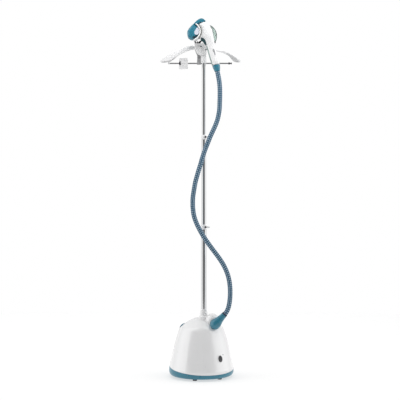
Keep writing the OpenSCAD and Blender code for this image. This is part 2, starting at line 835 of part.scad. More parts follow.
// Steam plate with its holes, on the slanted face
module steam_plate() {
    color("silver") translate([-42.2, hand_y, 1575.2]) rotate([0, -48.9, 0]) difference() {
        translate([-20, -24, 0]) cube([40, 48, 2.6]);
        for (i = [-2 : 2]) for (j = [-2 : 2]) translate([i * 7.5, j * 8.5, -1]) cylinder(r = 1.5, h = 5);
    }
}

// White ring between the steam head and the body
module steam_head_ring() {
    color("white") difference() {
        intersection() {
            slab([[-36, 1620], [10, 1620], [10, 1518], [-30.5, 1518], [-30.5, 1540], [-10, 1557],
                [-26.5, 1592]], hand_y - 28.8, hand_y + 28.8);
            peg_y(ring_c, ring_r, -120, -40);
        }
        peg_y(ring_c, ring_r - ring_w, -120, -40);
    }
}

module hose_cuff() {
    color("steelblue") along_cuff() rotate_extrude() polygon([[11.6, -cuff_len], [13, -cuff_len],
        [14.2, -cuff_len + 8], [14.8, -cuff_len + 9], [17.4, -3], [17.6, 0], [11.6, 0]]);
}

module trigger() {
    color("darkslategray") {
        slab(trigger_side, hand_y - 8, hand_y + 8);
        peg_y(trigger_pivot, 2, hand_y - 13, hand_y + 13);
    }
}

module steam_lock() {
    color("gray") translate([lock_at[0], 0, lock_at[1]]) rotate([0, -lock_tilt, 0]) {
        translate([-2.6, -102, -1]) cube([5.2, 6, 12]);
        translate([-5, -97.1, -4]) cube([10, 1.6, 18]);
    }
}

lower_casing();
upper_casing();
base_feet();
base_screws();
drain_plug();
mast_socket();
mast_collar();
boiler_body();
heating_element();
thermostat();
steam_pipe();
water_inlet_pipe();
button_bezel();
microswitch();
indicator_lens();
cord_gland();
hose_port();
hose_elbow();
hose_sleeve();
hose_lower();
mast_lower_tube();
clamp_collar(low_tube_r, mid_tube_r, 14, low_clamp_z);  // lower_clamp_collar
clamp_pin(low_clamp_z);  // lower_clamp_pin
clamp_lever(low_clamp_z);  // lower_clamp_lever
power_button();
water_tank();
tank_rim();
tank_cap();
tank_valve();
mast_mid_tube();
mid_tube_bush();
clamp_collar(mid_tube_r, top_tube_r, 12.8, top_clamp_z);  // upper_clamp_collar
clamp_pin(top_clamp_z);  // upper_clamp_pin
clamp_lever(top_clamp_z);  // upper_clamp_lever
hose_upper();
mast_top_tube();
top_tube_bush();
head_socket();
head_front_shell();
head_rear_shell();
wing_pins();
wing_left();
wing_right();
rod_post();
trouser_rod();
rod_end_cap();
rod_stop_ring();
clip_back();
clip_jaw();
handset_cradle();
brush_holder();
brush_frame();
handset_front_shell();
handset_rear_shell();
steam_head_cover();
steam_plate();
steam_head_ring();
hose_cuff();
trigger();
steam_lock();
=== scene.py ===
import math
import random

import bmesh
import bpy
import numpy as np
from mathutils import Matrix, Vector
from mathutils.geometry import delaunay_2d_cdt


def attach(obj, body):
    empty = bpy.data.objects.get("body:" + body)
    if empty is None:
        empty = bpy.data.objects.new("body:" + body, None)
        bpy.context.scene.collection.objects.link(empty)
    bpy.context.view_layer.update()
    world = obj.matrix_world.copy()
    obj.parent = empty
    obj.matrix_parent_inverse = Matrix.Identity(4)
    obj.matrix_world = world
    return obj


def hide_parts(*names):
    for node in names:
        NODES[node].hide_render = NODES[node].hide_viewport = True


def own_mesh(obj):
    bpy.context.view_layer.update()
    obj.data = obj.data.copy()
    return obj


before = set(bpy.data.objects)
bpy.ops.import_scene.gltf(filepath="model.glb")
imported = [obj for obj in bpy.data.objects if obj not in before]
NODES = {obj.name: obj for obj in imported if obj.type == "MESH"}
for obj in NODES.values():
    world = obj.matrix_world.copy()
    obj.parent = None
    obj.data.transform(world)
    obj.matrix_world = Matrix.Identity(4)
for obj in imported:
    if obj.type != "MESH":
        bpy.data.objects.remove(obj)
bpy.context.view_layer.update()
MM = 0.001


# ---------- camera, light and floor ----------

CAMERA_PLACE = (-0.0023, -4.32, 0.805)
FLOOR_HALF = 2.4
STUDIO_STRENGTH = 2.0
# Brightness of the surroundings by bearing, in degrees from the camera's side towards the right
STUDIO_BANDS = [(-180, 0.80), (-120, 0.95), (-95, 1.75), (-62, 1.75), (-52, 0.36), (-44, 0.26), (-12, 0.26),
                (-7, 0.40), (-2, 0.45), (3, 0.26), (30, 0.26), (46, 0.32), (60, 1.30), (70, 1.70),
                (100, 1.70), (125, 0.95), (180, 0.80)]


def add_object(name, data):
    obj = bpy.data.objects.new(name, data)
    bpy.context.scene.collection.objects.link(obj)
    return obj


def add_camera():
    data = bpy.data.cameras.new("camera")
    data.lens = 85
    data.sensor_width = 36
    camera = add_object("camera", data)
    camera.location = CAMERA_PLACE
    camera.rotation_euler = (math.radians(90), 0, 0)
    bpy.context.scene.camera = camera


def set_inputs(tree, node, inputs):
    """Gives each named input of a node a value, or links it to another node's output."""
    for key, value in inputs.items():
        if isinstance(value, bpy.types.NodeSocket):
            tree.links.new(value, node.inputs[key])
        else:
            node.inputs[key].default_value = value


def add_node(tree, kind, inputs=None, operation=None):
    node = tree.nodes.new("ShaderNode" + kind)
    if operation:
        node.operation = operation
    set_inputs(tree, node, inputs or {})
    return node


def studio_bands(tree):
    """The colour of the surroundings, told by the bearing of each direction."""
    place = add_node(tree, "TexCoord")
    split = add_node(tree, "SeparateXYZ", {0: place.outputs["Generated"]})
    back = add_node(tree, "Math", {0: split.outputs["Y"], 1: -1}, "MULTIPLY")
    bearing = add_node(tree, "Math", {0: split.outputs["X"], 1: back.outputs[0]}, "ARCTAN2")
    share = add_node(tree, "MapRange", {"From Min": -math.pi, "From Max": math.pi,
                                        "Value": bearing.outputs[0]})
    ramp = add_node(tree, "ValToRGB", {0: share.outputs[0]})
    ramp.color_ramp.interpolation = "EASE"
    stops = ramp.color_ramp.elements
    while len(stops) > 1:
        stops.remove(stops[-1])
    for i, (degrees, value) in enumerate(STUDIO_BANDS):
        at = (degrees + 180) / 360
        grey = value / STUDIO_STRENGTH
        stop = stops[0] if i == 0 else stops.new(at)
        stop.position = at
        stop.color = (grey, grey, grey, 1)
    return ramp.outputs[0]


def add_studio():
    """Surroundings that the camera sees as white and that light the pieces with bands of grey and white."""
    world = bpy.data.worlds.new("studio")
    bpy.context.scene.world = world
    world.use_nodes = True
    tree = world.node_tree
    tree.nodes.clear()
    lit = add_node(tree, "Background", {"Color": studio_bands(tree), "Strength": STUDIO_STRENGTH})
    seen = add_node(tree, "Background", {"Color": (1, 1, 1, 1), "Strength": 1.0})
    path = add_node(tree, "LightPath")
    mix = add_node(tree, "MixShader", {0: path.outputs["Is Camera Ray"], 1: lit.outputs[0],
                                       2: seen.outputs[0]})
    add_node(tree, "OutputWorld", {"Surface": mix.outputs[0]})


def add_lamp(name, location, target, size, watts):
    """A square lamp that lights the pieces but isn't mirrored in them."""
    data = bpy.data.lights.new(name, "AREA")
    data.shape = "RECTANGLE"
    data.size, data.size_y = size, size
    data.energy = watts
    lamp = add_object(name, data)
    lamp.location = location
    lamp.rotation_euler = (Vector(target) - Vector(location)).to_track_quat("-Z", "Y").to_euler()
    lamp.visible_glossy = False
    return data


def add_floor():
    corners = [(-1, -1), (1, -1), (1, 1), (-1, 1)]
    mesh = bpy.data.meshes.new("floor")
    mesh.from_pydata([(x * FLOOR_HALF, y * FLOOR_HALF, 0) for x, y in corners], [], [(0, 1, 2, 3)])
    mesh.materials.append(floor_material())
    add_object("floor", mesh)


# ---------- materials ----------

# A noise texture's values lie mostly between these
NOISE_LOW, NOISE_HIGH = 0.3, 0.7


def new_material(name):
    material = bpy.data.materials.new(name)
    material.use_nodes = True
    tree = material.node_tree
    return material, tree, tree.nodes["Principled BSDF"]


def noise(tree, scale, detail, stretch=(1, 1, 1)):
    """A noise texture in the piece's own space; scale is in waves per metre."""
    place = add_node(tree, "TexCoord")
    mapping = add_node(tree, "Mapping", {0: place.outputs["Object"], "Scale": stretch})
    texture = add_node(tree, "TexNoise", {"Vector": mapping.outputs[0], "Scale": scale, "Detail": detail})
    return texture.outputs[0]


def vary(tree, factor, value, low=0.8, high=1.25):
    """A number that a texture moves between two shares of its value."""
    ranged = add_node(tree, "MapRange", {"Value": factor, "From Min": NOISE_LOW, "From Max": NOISE_HIGH,
                                         "To Min": value * low, "To Max": value * high})
    return ranged.outputs[0]


def blend(tree, factor, stops):
    """A colour that a texture moves through two or three stops, each a position and a colour."""
    ramp = add_node(tree, "ValToRGB", {0: factor})
    marks = ramp.color_ramp.elements
    for mark, (position, colour) in zip(marks, (stops[0], stops[-1])):
        mark.position = position
        mark.color = (*colour, 1)
    for position, colour in stops[1:-1]:
        marks.new(position).color = (*colour, 1)
    return ramp.outputs[0]


def tint(tree, factor, colour, low, high):
    """A colour that a texture makes darker and lighter, between two shares of it."""
    dark, light = (tuple(c * share for c in colour) for share in (low, high))
    return blend(tree, factor, [(NOISE_LOW, dark), (NOISE_HIGH, light)])


def bump(tree, factor, height):
    return add_node(tree, "Bump", {"Strength": 0.5, "Distance": height, "Height": factor}).outputs[0]


def plastic(name, colour, rough, grain=500, relief=0.00001, coat=0.0, coat_rough=0.05, spread=0.04):
    """Moulded plastic: clouded colour, uneven gloss and a fine moulded grain."""
    material, tree, shader = new_material(name)
    set_inputs(tree, shader, {
        "Base Color": tint(tree, noise(tree, 14, 3), colour, 1 - spread, 1 + spread),
        "Roughness": vary(tree, noise(tree, 60, 5), rough, 0.85, 1.2),
        "Normal": bump(tree, noise(tree, grain, 2), relief),
        "Coat Weight": coat, "Coat Roughness": coat_rough, "Coat IOR": 1.8})
    return material


def metal(name, colour, rough, stretch=(1, 1, 1), relief=0.00001, scale=900):
    """Drawn or brushed metal: grain that runs along the piece."""
    material, tree, shader = new_material(name)
    grain = noise(tree, scale, 4, stretch)
    set_inputs(tree, shader, {
        "Metallic": 1.0, "Base Color": tint(tree, grain, colour, 0.92, 1.05),
        "Roughness": vary(tree, grain, rough), "Normal": bump(tree, grain, relief)})
    return material


def rubber(name, colour, rough=0.7):
    material, tree, shader = new_material(name)
    set_inputs(tree, shader, {
        "Base Color": tint(tree, noise(tree, 40, 4), colour, 0.8, 1.25),
        "Roughness": vary(tree, noise(tree, 200, 4), rough, 0.9, 1.15),
        "Normal": bump(tree, noise(tree, 1500, 3), 0.00008)})
    return material


def clear_plastic(name, colour, rough, transmission):
    material, tree, shader = new_material(name)
    set_inputs(tree, shader, {
        "Base Color": tint(tree, noise(tree, 20, 3), colour, 0.95, 1.05),
        "Roughness": vary(tree, noise(tree, 90, 3), rough, 0.8, 1.3),
        "Normal": bump(tree, noise(tree, 300, 2), 0.00003),
        "Transmission Weight": transmission, "IOR": 1.45})
    return material


def hose_cloth():
    """Woven cover: dark and pale strands, told apart by the strand value on each vertex."""
    material, tree, shader = new_material("hose_cloth")
    strand = add_node(tree, "Attribute")
    strand.attribute_name = "strand"
    mixed = add_node(tree, "Math", {0: noise(tree, 700, 3), 1: 0.28, 2: strand.outputs["Fac"]},
                     "MULTIPLY_ADD")
    stops = [(0.20, (0.009, 0.038, 0.080)), (0.62, (0.050, 0.175, 0.29)), (1.0, (0.85, 0.93, 0.95))]
    set_inputs(tree, shader, {
        "Base Color": blend(tree, mixed.outputs[0], stops),
        "Roughness": vary(tree, noise(tree, 500, 3), 1, 0.55, 0.8),
        "Normal": bump(tree, noise(tree, 2500, 3), 0.0001),
        "Sheen Weight": 0.25, "Sheen Roughness": 0.4})
    return material


def floor_material():
    """Grey that glows a little, so that the floor comes out white and still shows a soft shadow."""
    material = plastic("floor", (0.36, 0.36, 0.36), 0.9, grain=40, relief=0.0001, spread=0.01)
    tree = material.node_tree
    glow = {"Emission Color": (1, 1, 1, 1), "Emission Strength": 0.59}
    set_inputs(tree, tree.nodes["Principled BSDF"], glow)
    return material


WHITE = (0.78, 0.78, 0.785)
TEAL = (0.018, 0.172, 0.252)
ALONG_Y = (1, 0.05, 1)
ALONG_Z = (1, 1, 0.02)
ALONG_X = (0.02, 1, 1)

MATERIALS = {
    "white_gloss": plastic("white_gloss", WHITE, 0.32, grain=220, relief=0.000004, coat=1.0, coat_rough=0.04,
                           spread=0.008),
    "teal_plastic": plastic("teal_plastic", TEAL, 0.30, coat=0.2, coat_rough=0.1, spread=0.06),
    "grey_plastic": plastic("grey_plastic", (0.33, 0.335, 0.34), 0.42, relief=0.00004),
    "black_plastic": plastic("black_plastic", (0.022, 0.022, 0.026), 0.35, relief=0.00004, spread=0.2),
    "brush_plastic": plastic("brush_plastic", (0.13, 0.17, 0.16), 0.40, relief=0.00004, spread=0.08),
    # The trigger is teal; its colour is made far darker than the other teal parts as painted shade, since it
    # sits in shadow under the head
    "trigger_plastic": plastic("trigger_plastic", (0.012, 0.055, 0.065), 0.25, coat=0.4, spread=0.15),
    "rubber": rubber("rubber", (0.035, 0.038, 0.042)),
    "silicone": rubber("silicone", (0.62, 0.62, 0.58), 0.5),
    "mast_alloy": metal("mast_alloy", (0.55, 0.555, 0.56), 0.09, ALONG_Z, 0.000003),
    "steel": metal("steel", (0.62, 0.62, 0.61), 0.25, ALONG_Y),
    "rod_metal": metal("rod_metal", (0.30, 0.30, 0.31), 0.3, ALONG_X),
    "boiler_alloy": metal("boiler_alloy", (0.6, 0.6, 0.6), 0.45, relief=0.00006, scale=300),
    "element": metal("element", (0.6, 0.35, 0.25), 0.4, relief=0.00004, scale=500),
    "tank_clear": clear_plastic("tank_clear", (0.45, 0.78, 0.80), 0.15, 0.75),
    "lens": clear_plastic("lens", (0.20, 0.23, 0.28), 0.12, 0.1),
    "hose_cloth": hose_cloth(),
}
SATIN = plastic("white_satin", WHITE, 0.36, grain=220, relief=0.0000015, coat=0.25, coat_rough=0.2,
                spread=0.008)
# Very dark teal that stands in for shade: painted shade in the head's slots and under the steam head
SHADE_TEAL = plastic("painted_shade_teal", (0.006, 0.028, 0.042), 0.35, spread=0.2)
WINDOW = clear_plastic("window", (0.78, 0.80, 0.90), 0.12, 0.2)
MINT = plastic("mint", (0.66, 0.78, 0.73), 0.4, spread=0.06)
NAVY = rubber("navy_band", (0.012, 0.030, 0.065), 0.6)
TRACK = plastic("track", (0.30, 0.30, 0.32), 0.4)
GASKET = rubber("gasket", (0.16, 0.165, 0.15), 0.6)
GRIP = rubber("grip", (0.24, 0.31, 0.295), 0.55)
BRISTLE = plastic("bristle", (0.62, 0.72, 0.68), 0.5, spread=0.12)
# A grey copy of the white: the seam bead's own joint colour, and painted shade on the clip's inner lips
JOINT_AND_SHADE_WHITE = plastic("joint_and_shade_white", (0.55, 0.55, 0.56), 0.4)


def slotted(slot, material=None):
    """What a piece is told: the slot's material unless another is given, and the slot's name."""
    return {"material": MATERIALS[slot] if material is None else material, "slot": slot}


GLOSS_LOOK = slotted("white_gloss")
SATIN_LOOK = slotted("white_gloss", SATIN)
TEAL_LOOK = slotted("teal_plastic")
GREY_LOOK = slotted("grey_plastic")
TOGGLE_LOOK = slotted("grey_plastic", SATIN)
BLACK_LOOK = slotted("black_plastic")
BRUSH_LOOK = slotted("brush_plastic")
STEEL_LOOK = slotted("steel")


# ---------- mesh helpers, in millimetres ----------

def piece(name, verts, faces, body, material, slot=None, replaces=(), sharp=40):
    """A mesh object from points in millimetres, smooth except at sharp edges, riding on a CAD body."""
    mesh = bpy.data.meshes.new(name)
    mesh.from_pydata([tuple(float(c) * MM for c in v) for v in verts], [], faces)
    mesh.validate()
    clean = bmesh.new()
    clean.from_mesh(mesh)
    bmesh.ops.remove_doubles(clean, verts=clean.verts, dist=1e-7)
    bmesh.ops.recalc_face_normals(clean, faces=clean.faces)
    clean.to_mesh(mesh)
    clean.free()
    mesh.polygons.foreach_set("use_smooth", [True] * len(mesh.polygons))
    mesh.set_sharp_from_angle(angle=math.radians(sharp))
    mesh.materials.append(material)
    obj = add_object(name, mesh)
    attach(obj, body)
    if replaces:
        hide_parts(*replaces)
    return obj


def skin(rings, closed_ends=True):
    """Faces between rings of points that have the same length."""
    n = len(rings[0])
    faces = []
    for k in range(len(rings) - 1):
        for i in range(n):
            j = (i + 1) % n
            faces.append([k * n + i, k * n + j, (k + 1) * n + j, (k + 1) * n + i])
    if closed_ends:
        faces.append(list(range(n))[::-1])
        faces.append([(len(rings) - 1) * n + i for i in range(n)])
    return faces


def tube(name, rings, body, material, **more):
    """A closed piece whose skin runs from each ring of points to the next."""
    return piece(name, [p for ring in rings for p in ring], skin(rings), body, material, **more)


def rounded(points, times=2):
    """A closed outline with its corners cut again and again."""
    p = np.array(points, float)
    for _ in range(times):
        q = np.roll(p, -1, axis=0)
        p = np.stack([0.75 * p + 0.25 * q, 0.25 * p + 0.75 * q], axis=1).reshape(-1, 2)
    return p


def eased_corners(points, r):
    """A closed outline whose corners are rounded over a distance r."""
    p = np.array(points, float)
    to_last, to_next = np.roll(p, 1, axis=0) - p, np.roll(p, -1, axis=0) - p
    far_last = np.linalg.norm(to_last, axis=1, keepdims=True)
    far_next = np.linalg.norm(to_next, axis=1, keepdims=True)
    before = p + to_last * np.minimum(r / far_last, 0.4)
    after = p + to_next * np.minimum(r / far_next, 0.4)
    middle = 0.25 * before + 0.5 * p + 0.25 * after
    return np.stack([before, middle, after], axis=1).reshape(-1, 2)


def resampled(points, count, endpoint=True):
    """Points spread evenly along a line, and how far along it each one is."""
    run = run_along(points)
    s = np.linspace(0, run[-1], count, endpoint=endpoint)
    return np.stack([np.interp(s, run, column) for column in points.T], axis=1), s


def run_along(points):
    return np.concatenate([[0], np.cumsum(np.linalg.norm(np.diff(points, axis=0), axis=1))])


def evenly(points, step):
    """Points along a closed outline, about one step apart."""
    p = np.vstack([points, points[:1]])
    return resampled(p, max(12, int(run_along(p)[-1] / step)), endpoint=False)[0]


def distance_to(outline, points):
    """How far points are from a closed outline."""
    a, b = outline, np.roll(outline, -1, axis=0)
    d = b - a
    length2 = np.maximum((d * d).sum(axis=1), 1e-12)
    t = np.clip(((points[:, None] - a) * d).sum(axis=2) / length2, 0, 1)
    near = a + t[..., None] * d
    return np.sqrt(((points[:, None] - near) ** 2).sum(axis=2)).min(axis=1)


def inside(outline, points):
    a, b = outline, np.roll(outline, -1, axis=0)
    x, z = points[:, :1], points[:, 1:]
    crosses = (a[:, 1] > z) != (b[:, 1] > z)
    rise = np.where(np.abs(b[:, 1] - a[:, 1]) < 1e-12, 1e-12, b[:, 1] - a[:, 1])
    at = (b[:, 0] - a[:, 0]) * (z - a[:, 1]) / rise + a[:, 0]
    return (crosses & (x < at)).sum(axis=1) % 2 == 1


def turned(points, centre, degrees):
    """Points in X and Z, turned about a centre."""
    a = math.radians(degrees)
    turn = np.array([[math.cos(a), -math.sin(a)], [math.sin(a), math.cos(a)]])
    return np.array(points, float) @ turn.T + np.array(centre, float)


def arc(centre, r, start, end, step=6):
    """Points on a circle in X and Z, from one angle to another in degrees."""
    n = max(2, int(abs(end - start) / step) + 1)
    return [(centre[0] + r * math.cos(math.radians(a)), centre[1] + r * math.sin(math.radians(a)))
            for a in np.linspace(start, end, n)]


def box_outline(x0, x1, z0, z1):
    return [(x0, z0), (x1, z0), (x1, z1), (x0, z1)]


def dome(t, power=2.4):
    return (1 - (1 - np.clip(t, 0, 1)) ** power) ** (1 / power)


def relaxed(height, faces, free, rounds):
    """Heights smoothed over a triangulated outline, except where they are held."""
    pairs = np.array([(a, b) for f in faces for a, b in zip(f, f[1:] + f[:1])])
    count = np.maximum(np.bincount(pairs[:, 0], minlength=len(height)), 1)
    for _ in range(rounds):
        near = np.bincount(pairs[:, 0], weights=height[pairs[:, 1]], minlength=len(height)) / count
        height = np.where(free, near, height)
    return height


# Sizes of the first rings of a strip, so that its ends are rounded
END_SHARES = (0.55, 0.85, 1.0)
# A pillow's rings of points near its rim, as shares of its edge, and how often its surface is smoothed
RIM_RINGS = (0.015, 0.06, 0.15, 0.3)
SMOOTHING_ROUNDS = 10
FLAT_BACK_GAP = 0.01


def inward(line):
    """The direction into a closed outline at each of its points."""
    ahead, behind = np.roll(line, -1, axis=0), np.roll(line, 1, axis=0)
    normal = (ahead - behind)[:, ::-1] * (-1, 1)
    normal /= np.maximum(np.linalg.norm(normal, axis=1, keepdims=True), 1e-9)
    if not inside(line, line[:1] + normal[:1] * 0.05)[0]:
        normal = -normal
    return normal


def filled(line, edge, grid):
    """A closed outline filled with points, close together near its rim, as points and triangles."""
    normal = inward(line)
    rings, last = [line], 0
    for share in RIM_RINGS:
        last = share * edge
        moved = line + normal * last
        keep = inside(line, moved) & (distance_to(line, moved) > 0.93 * last)
        rings.append(moved[keep])
    low, high = line.min(axis=0), line.max(axis=0)
    xs, zs = np.arange(low[0], high[0], grid), np.arange(low[1], high[1], grid * 0.866)
    mesh_x, mesh_z = np.meshgrid(xs, zs)
    mesh_x = mesh_x + (np.arange(len(zs))[:, None] % 2) * grid / 2
    cloud = np.stack([mesh_x.ravel(), mesh_z.ravel()], axis=1)
    cloud = cloud[inside(line, cloud)]
    if len(cloud):
        cloud = cloud[distance_to(line, cloud) > last + grid * 0.45]
    points = [Vector(p) for p in np.vstack(rings + [cloud])]
    verts, _, faces, *_ = delaunay_2d_cdt(points, [], [list(range(len(line)))], 1, 1e-6)
    return np.array([tuple(v) for v in verts]), [list(f) for f in faces]


def rim_strip(faces, rim):
    """Faces that join the rim of a sheet to the rim of its copy."""
    n = len(rim)
    edges = dict.fromkeys((a, b) for f in faces for a, b in zip(f, f[1:] + f[:1]))
    return [[b, a, n + a, n + b] for a, b in edges if (b, a) not in edges and rim[a] and rim[b]]


def pillow(name, outline, y_mid, half, edge, body, material, side=0, crown=0.1, grid=2.6, back=0.0, **more):
    """A rounded body whose outline lies in the plane y = y_mid. Its faces rise to half over the distance edge
    from the outline, then crown a little. side -1 is the front half only and 1 the rear half, with a flat
    back; back is how far that half stands off the plane."""
    line = evenly(np.array(outline, float), grid * 0.8)
    flat, faces = filled(line, edge, grid)
    depth = distance_to(line, flat)
    depth[depth < 1e-4] = 0
    size = half(flat[:, 1]) if callable(half) else half
    height = size * ((1 - crown) * dome(depth / edge) + crown * dome(depth / max(depth.max(), edge)))
    height = relaxed(height, faces, depth > 0.35 * edge, SMOOTHING_ROUNDS)
    rise = {-1: (-1, 0), 0: (-1, 1), 1: (0, 1)}[side]
    gap = {-1: (0, FLAT_BACK_GAP), 0: (0, 0), 1: (-FLAT_BACK_GAP, 0)}[side]
    front, rear = ([(x, y_mid + rise[k] * h + side * back + gap[k], z) for (x, z), h in zip(flat, height)]
                   for k in (0, 1))
    rim, n = depth == 0, len(flat)
    if side == 0:
        index = [i if rim[i] else n + i for i in range(n)]
        second = [[index[k] for k in reversed(f)] for f in faces]
    else:
        second = [[n + k for k in reversed(f)] for f in faces] + rim_strip(faces, rim)
    return piece(name, front + rear, faces + second, body, material, **more)


def shell_halves(name, line, plane, back, half, edge, body, crown):
    """The front and rear halves of a white shell, on either side of a seam."""
    return [pillow(f"{name}_{place}_cover", line, plane, half, edge, body, side=side, back=back, crown=crown,
                   replaces=(f"{name}_{place}_shell",), **SATIN_LOOK)
            for side, place in ((-1, "front"), (1, "rear"))]


def place_axis(points, origin, tilt=0.0, axis="Z"):
    """Points made round the Z axis, turned so that Z becomes the named axis, tilted about Y and moved."""
    turn = {"Z": Matrix.Identity(3), "Y": Matrix.Rotation(math.radians(-90), 3, "X"),
            "X": Matrix.Rotation(math.radians(90), 3, "Y")}[axis]
    lean = Matrix.Rotation(math.radians(tilt), 3, "Y")
    both = np.array(lean @ turn)
    return np.array(points, float) @ both.T + np.array(origin, float)


def revolve_points(profile, steps):
    """Rings of (radius, height) profile points round Z, as points and faces."""
    verts, faces = [], []
    for k in range(steps):
        a = math.radians(360 * k / steps)
        verts += [(r * math.cos(a), r * math.sin(a), z) for r, z in profile]
    n = len(profile)
    for k in range(steps):
        here, there = k * n, ((k + 1) % steps) * n
        for i in range(n - 1):
            faces.append([here + i, there + i, there + i + 1, here + i + 1])
    return verts, faces


def revolve(name, profile, origin, body, material, tilt=0.0, axis="Z", steps=64, **more):
    """A turned piece. The profile starts and ends on the axis or closes on itself."""
    verts, faces = revolve_points(profile, steps)
    return piece(name, place_axis(verts, origin, tilt, axis), faces, body, material, **more)


def soft_cylinder(r, z0, z1, edge, n=4):
    """Profile of a solid cylinder with rounded rims."""
    turn = [math.radians(90 * i / n) for i in range(n + 1)]
    low = [(r - edge + edge * math.sin(t), z0 + edge - edge * math.cos(t)) for t in turn]
    high = [(r - edge + edge * math.cos(t), z1 - edge + edge * math.sin(t)) for t in turn]
    return [(0, z0)] + low + high + [(0, z1)]


def soft_ring(r0, r1, z0, z1, edge, n=3):
    """Profile of a ring with rounded edges, closed on itself."""
    points = []
    for cr, cz, start in ((r1 - edge, z0 + edge, -90), (r1 - edge, z1 - edge, 0),
                          (r0 + edge, z1 - edge, 90), (r0 + edge, z0 + edge, 180)):
        for i in range(n + 1):
            a = math.radians(start + 90 * i / n)
            points.append((cr + edge * math.cos(a), cz + edge * math.sin(a)))
    return points + points[:1]


def arc_band(name, centre, r0, r1, y0, y1, start, end, edge, body, material, **more):
    """A curved strip in the plane of X and Z, with rounded edges and ends."""
    section = soft_ring(r0, r1, y0, y1, edge)[:-1]
    middle_r, middle_y = (r0 + r1) / 2, (y0 + y1) / 2
    rings, steps = [], 48
    for k, degrees in enumerate(np.linspace(start, end, steps + 1)):
        shrink = END_SHARES[min(k, steps - k, 2)]
        a = math.radians(degrees)
        ring = []
        for r, y in section:
            rr = middle_r + (r - middle_r) * shrink
            yy = middle_y + (y - middle_y) * (1 - (1 - shrink) * edge * 2 / (y1 - y0))
            ring.append((centre[0] + rr * math.cos(a), yy, centre[1] + rr * math.sin(a)))
        rings.append(ring)
    return tube(name, rings, body, material, **more)


def box_between(low, high):
    """A box, given by two corners."""
    made = bmesh.new()
    bmesh.ops.create_cube(made, size=1)
    low, high = np.array(low, float), np.array(high, float)
    for v in made.verts:
        v.co = Vector((np.array(v.co) + 0.5) * (high - low) + low)
    return made


def points_and_faces(made):
    """The points and faces of a bmesh, which is then freed."""
    made.verts.index_update()
    points = [tuple(v.co) for v in made.verts]
    faces = [[v.index for v in f.verts] for f in made.faces]
    made.free()
    return points, faces


def block(name, low, high, edge, body, material, tilt=0.0, origin=(0, 0, 0), **more):
    """A box with rounded edges, tilted about Y round its origin."""
    made = box_between(low, high)
    bmesh.ops.bevel(made, geom=made.edges, offset=edge, segments=3, profile=0.5, affect="EDGES")
    points, faces = points_and_faces(made)
    return piece(name, place_axis(points, origin, tilt), faces, body, material, **more)


# ---------- hose ----------

HOSE_LOW = [(106, -80, 289), (113, -80, 297), (121, -80, 311), (127, -80, 329), (131, -80, 352),
            (133, -80, 378), (133, -80, 404), (131, -80, 428), (127, -80, 452), (120, -80, 476),
            (110, -80, 500), (97, -80, 524), (81, -80, 548), (63, -80, 572), (45, -80, 596),
            (28, -80, 620), (12, -80, 644), (-2, -80, 668), (-14, -80, 692), (-24, -80, 716),
            (-31, -80, 742), (-34, -80, 767), (-35, -80, 780), (-35, -80, 790)]

HOSE_TOP = [(-35, -80, 790), (-35, -80, 800), (-34, -80, 818), (-31, -80, 840), (-27, -80, 865),
            (-22, -80, 890), (-15, -80, 915), (-8, -80, 940), (0, -80, 965), (7, -80, 990), (15, -80, 1015),
            (24, -80, 1040), (34, -80, 1065), (44, -80, 1090), (55, -80, 1114), (66, -80, 1138),
            (75, -80, 1162), (81, -81, 1187), (85, -81, 1213), (86, -81, 1240), (87, -82, 1268),
            (87, -82, 1295), (86, -82, 1320), (83, -82, 1344), (79, -82, 1366), (75, -82, 1385),
            (66, -82, 1427.5)]

HOSE_R = 10.95
STRANDS = 8
STRAND_PITCH = 9.2
STRAND_RELIEF = 0.8


def smooth_route(points, step):
    """A curve through the route's points, resampled evenly, and how far along it each point is."""
    p = np.array(points, float)
    p = np.vstack([2 * p[0] - p[1], p, 2 * p[-1] - p[-2]])
    fine = []
    for i in range(1, len(p) - 2):
        for t in np.linspace(0, 1, 10, endpoint=False):
            a, b, c, d = p[i - 1], p[i], p[i + 1], p[i + 2]
            fine.append(0.5 * (2 * b + (c - a) * t + (2 * a - 5 * b + 4 * c - d) * t * t
                               + (3 * b - a - 3 * c + d) * t ** 3))
    fine = np.array(fine + [p[-2]])
    return resampled(fine, int(round(run_along(fine)[-1] / step)) + 1)


def directions(line):
    """The direction along a line at each point, and the one square to it that has no Y."""
    along = np.gradient(line, axis=0)
    along /= np.linalg.norm(along, axis=1, keepdims=True)
    side = np.cross([0, 1, 0], along)
    side /= np.linalg.norm(side, axis=1, keepdims=True)
    return along, side


def weave(run, theta):
    """Height of the woven cover, from 0 to 1, and whether the strand on top is a pale one."""
    turns, rise = STRANDS * theta / (2 * math.pi), (run / STRAND_PITCH)[:, None]
    a, b = turns + rise, turns - rise
    pale = (np.floor(a) + np.floor(b)) % 2 < 1
    ridge_a, ridge_b = np.sin(math.pi * (a % 1)), np.sin(math.pi * (b % 1))
    top, under = np.where(pale, ridge_a, ridge_b), np.where(pale, ridge_b, ridge_a)
    return top ** 0.7 * (0.55 + 0.45 * under), pale


def hose(name, node, body, route, run_before):
    """One stretch of the hose, its woven cover as relief. Returns the object, its line and its length."""
    line, run = smooth_route(route, 1.4)
    along, side = directions(line)
    up = np.cross(along, side)
    around = 48
    theta = np.arange(around) * 2 * math.pi / around
    height, pale = weave(run + run_before, theta)
    r = HOSE_R - STRAND_RELIEF * (1 - height)
    rings = (line[:, None] + r[..., None] * (np.cos(theta)[None, :, None] * side[:, None]
                                             + np.sin(theta)[None, :, None] * up[:, None]))
    obj = tube(name, rings, body, replaces=(node,), sharp=75, **slotted("hose_cloth"))
    strand = np.where(pale, 0.08 + 0.9 * height ** 2, 0.08 + 0.1 * height)
    paint = obj.data.attributes.new("strand", "FLOAT", "POINT")
    paint.data.foreach_set("value", strand.ravel().astype(np.float32))
    return obj, line * MM, run[-1] * MM


def add_hose():
    lower, low_line, low_length = hose("hose_lower_cover", "hose_lower", "base", HOSE_LOW, 0)
    upper, top_line, top_length = hose("hose_upper_cover", "hose_upper", "mast_mid", HOSE_TOP,
                                       low_length / MM)
    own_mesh(lower)
    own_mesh(upper)


# ---------- base ----------

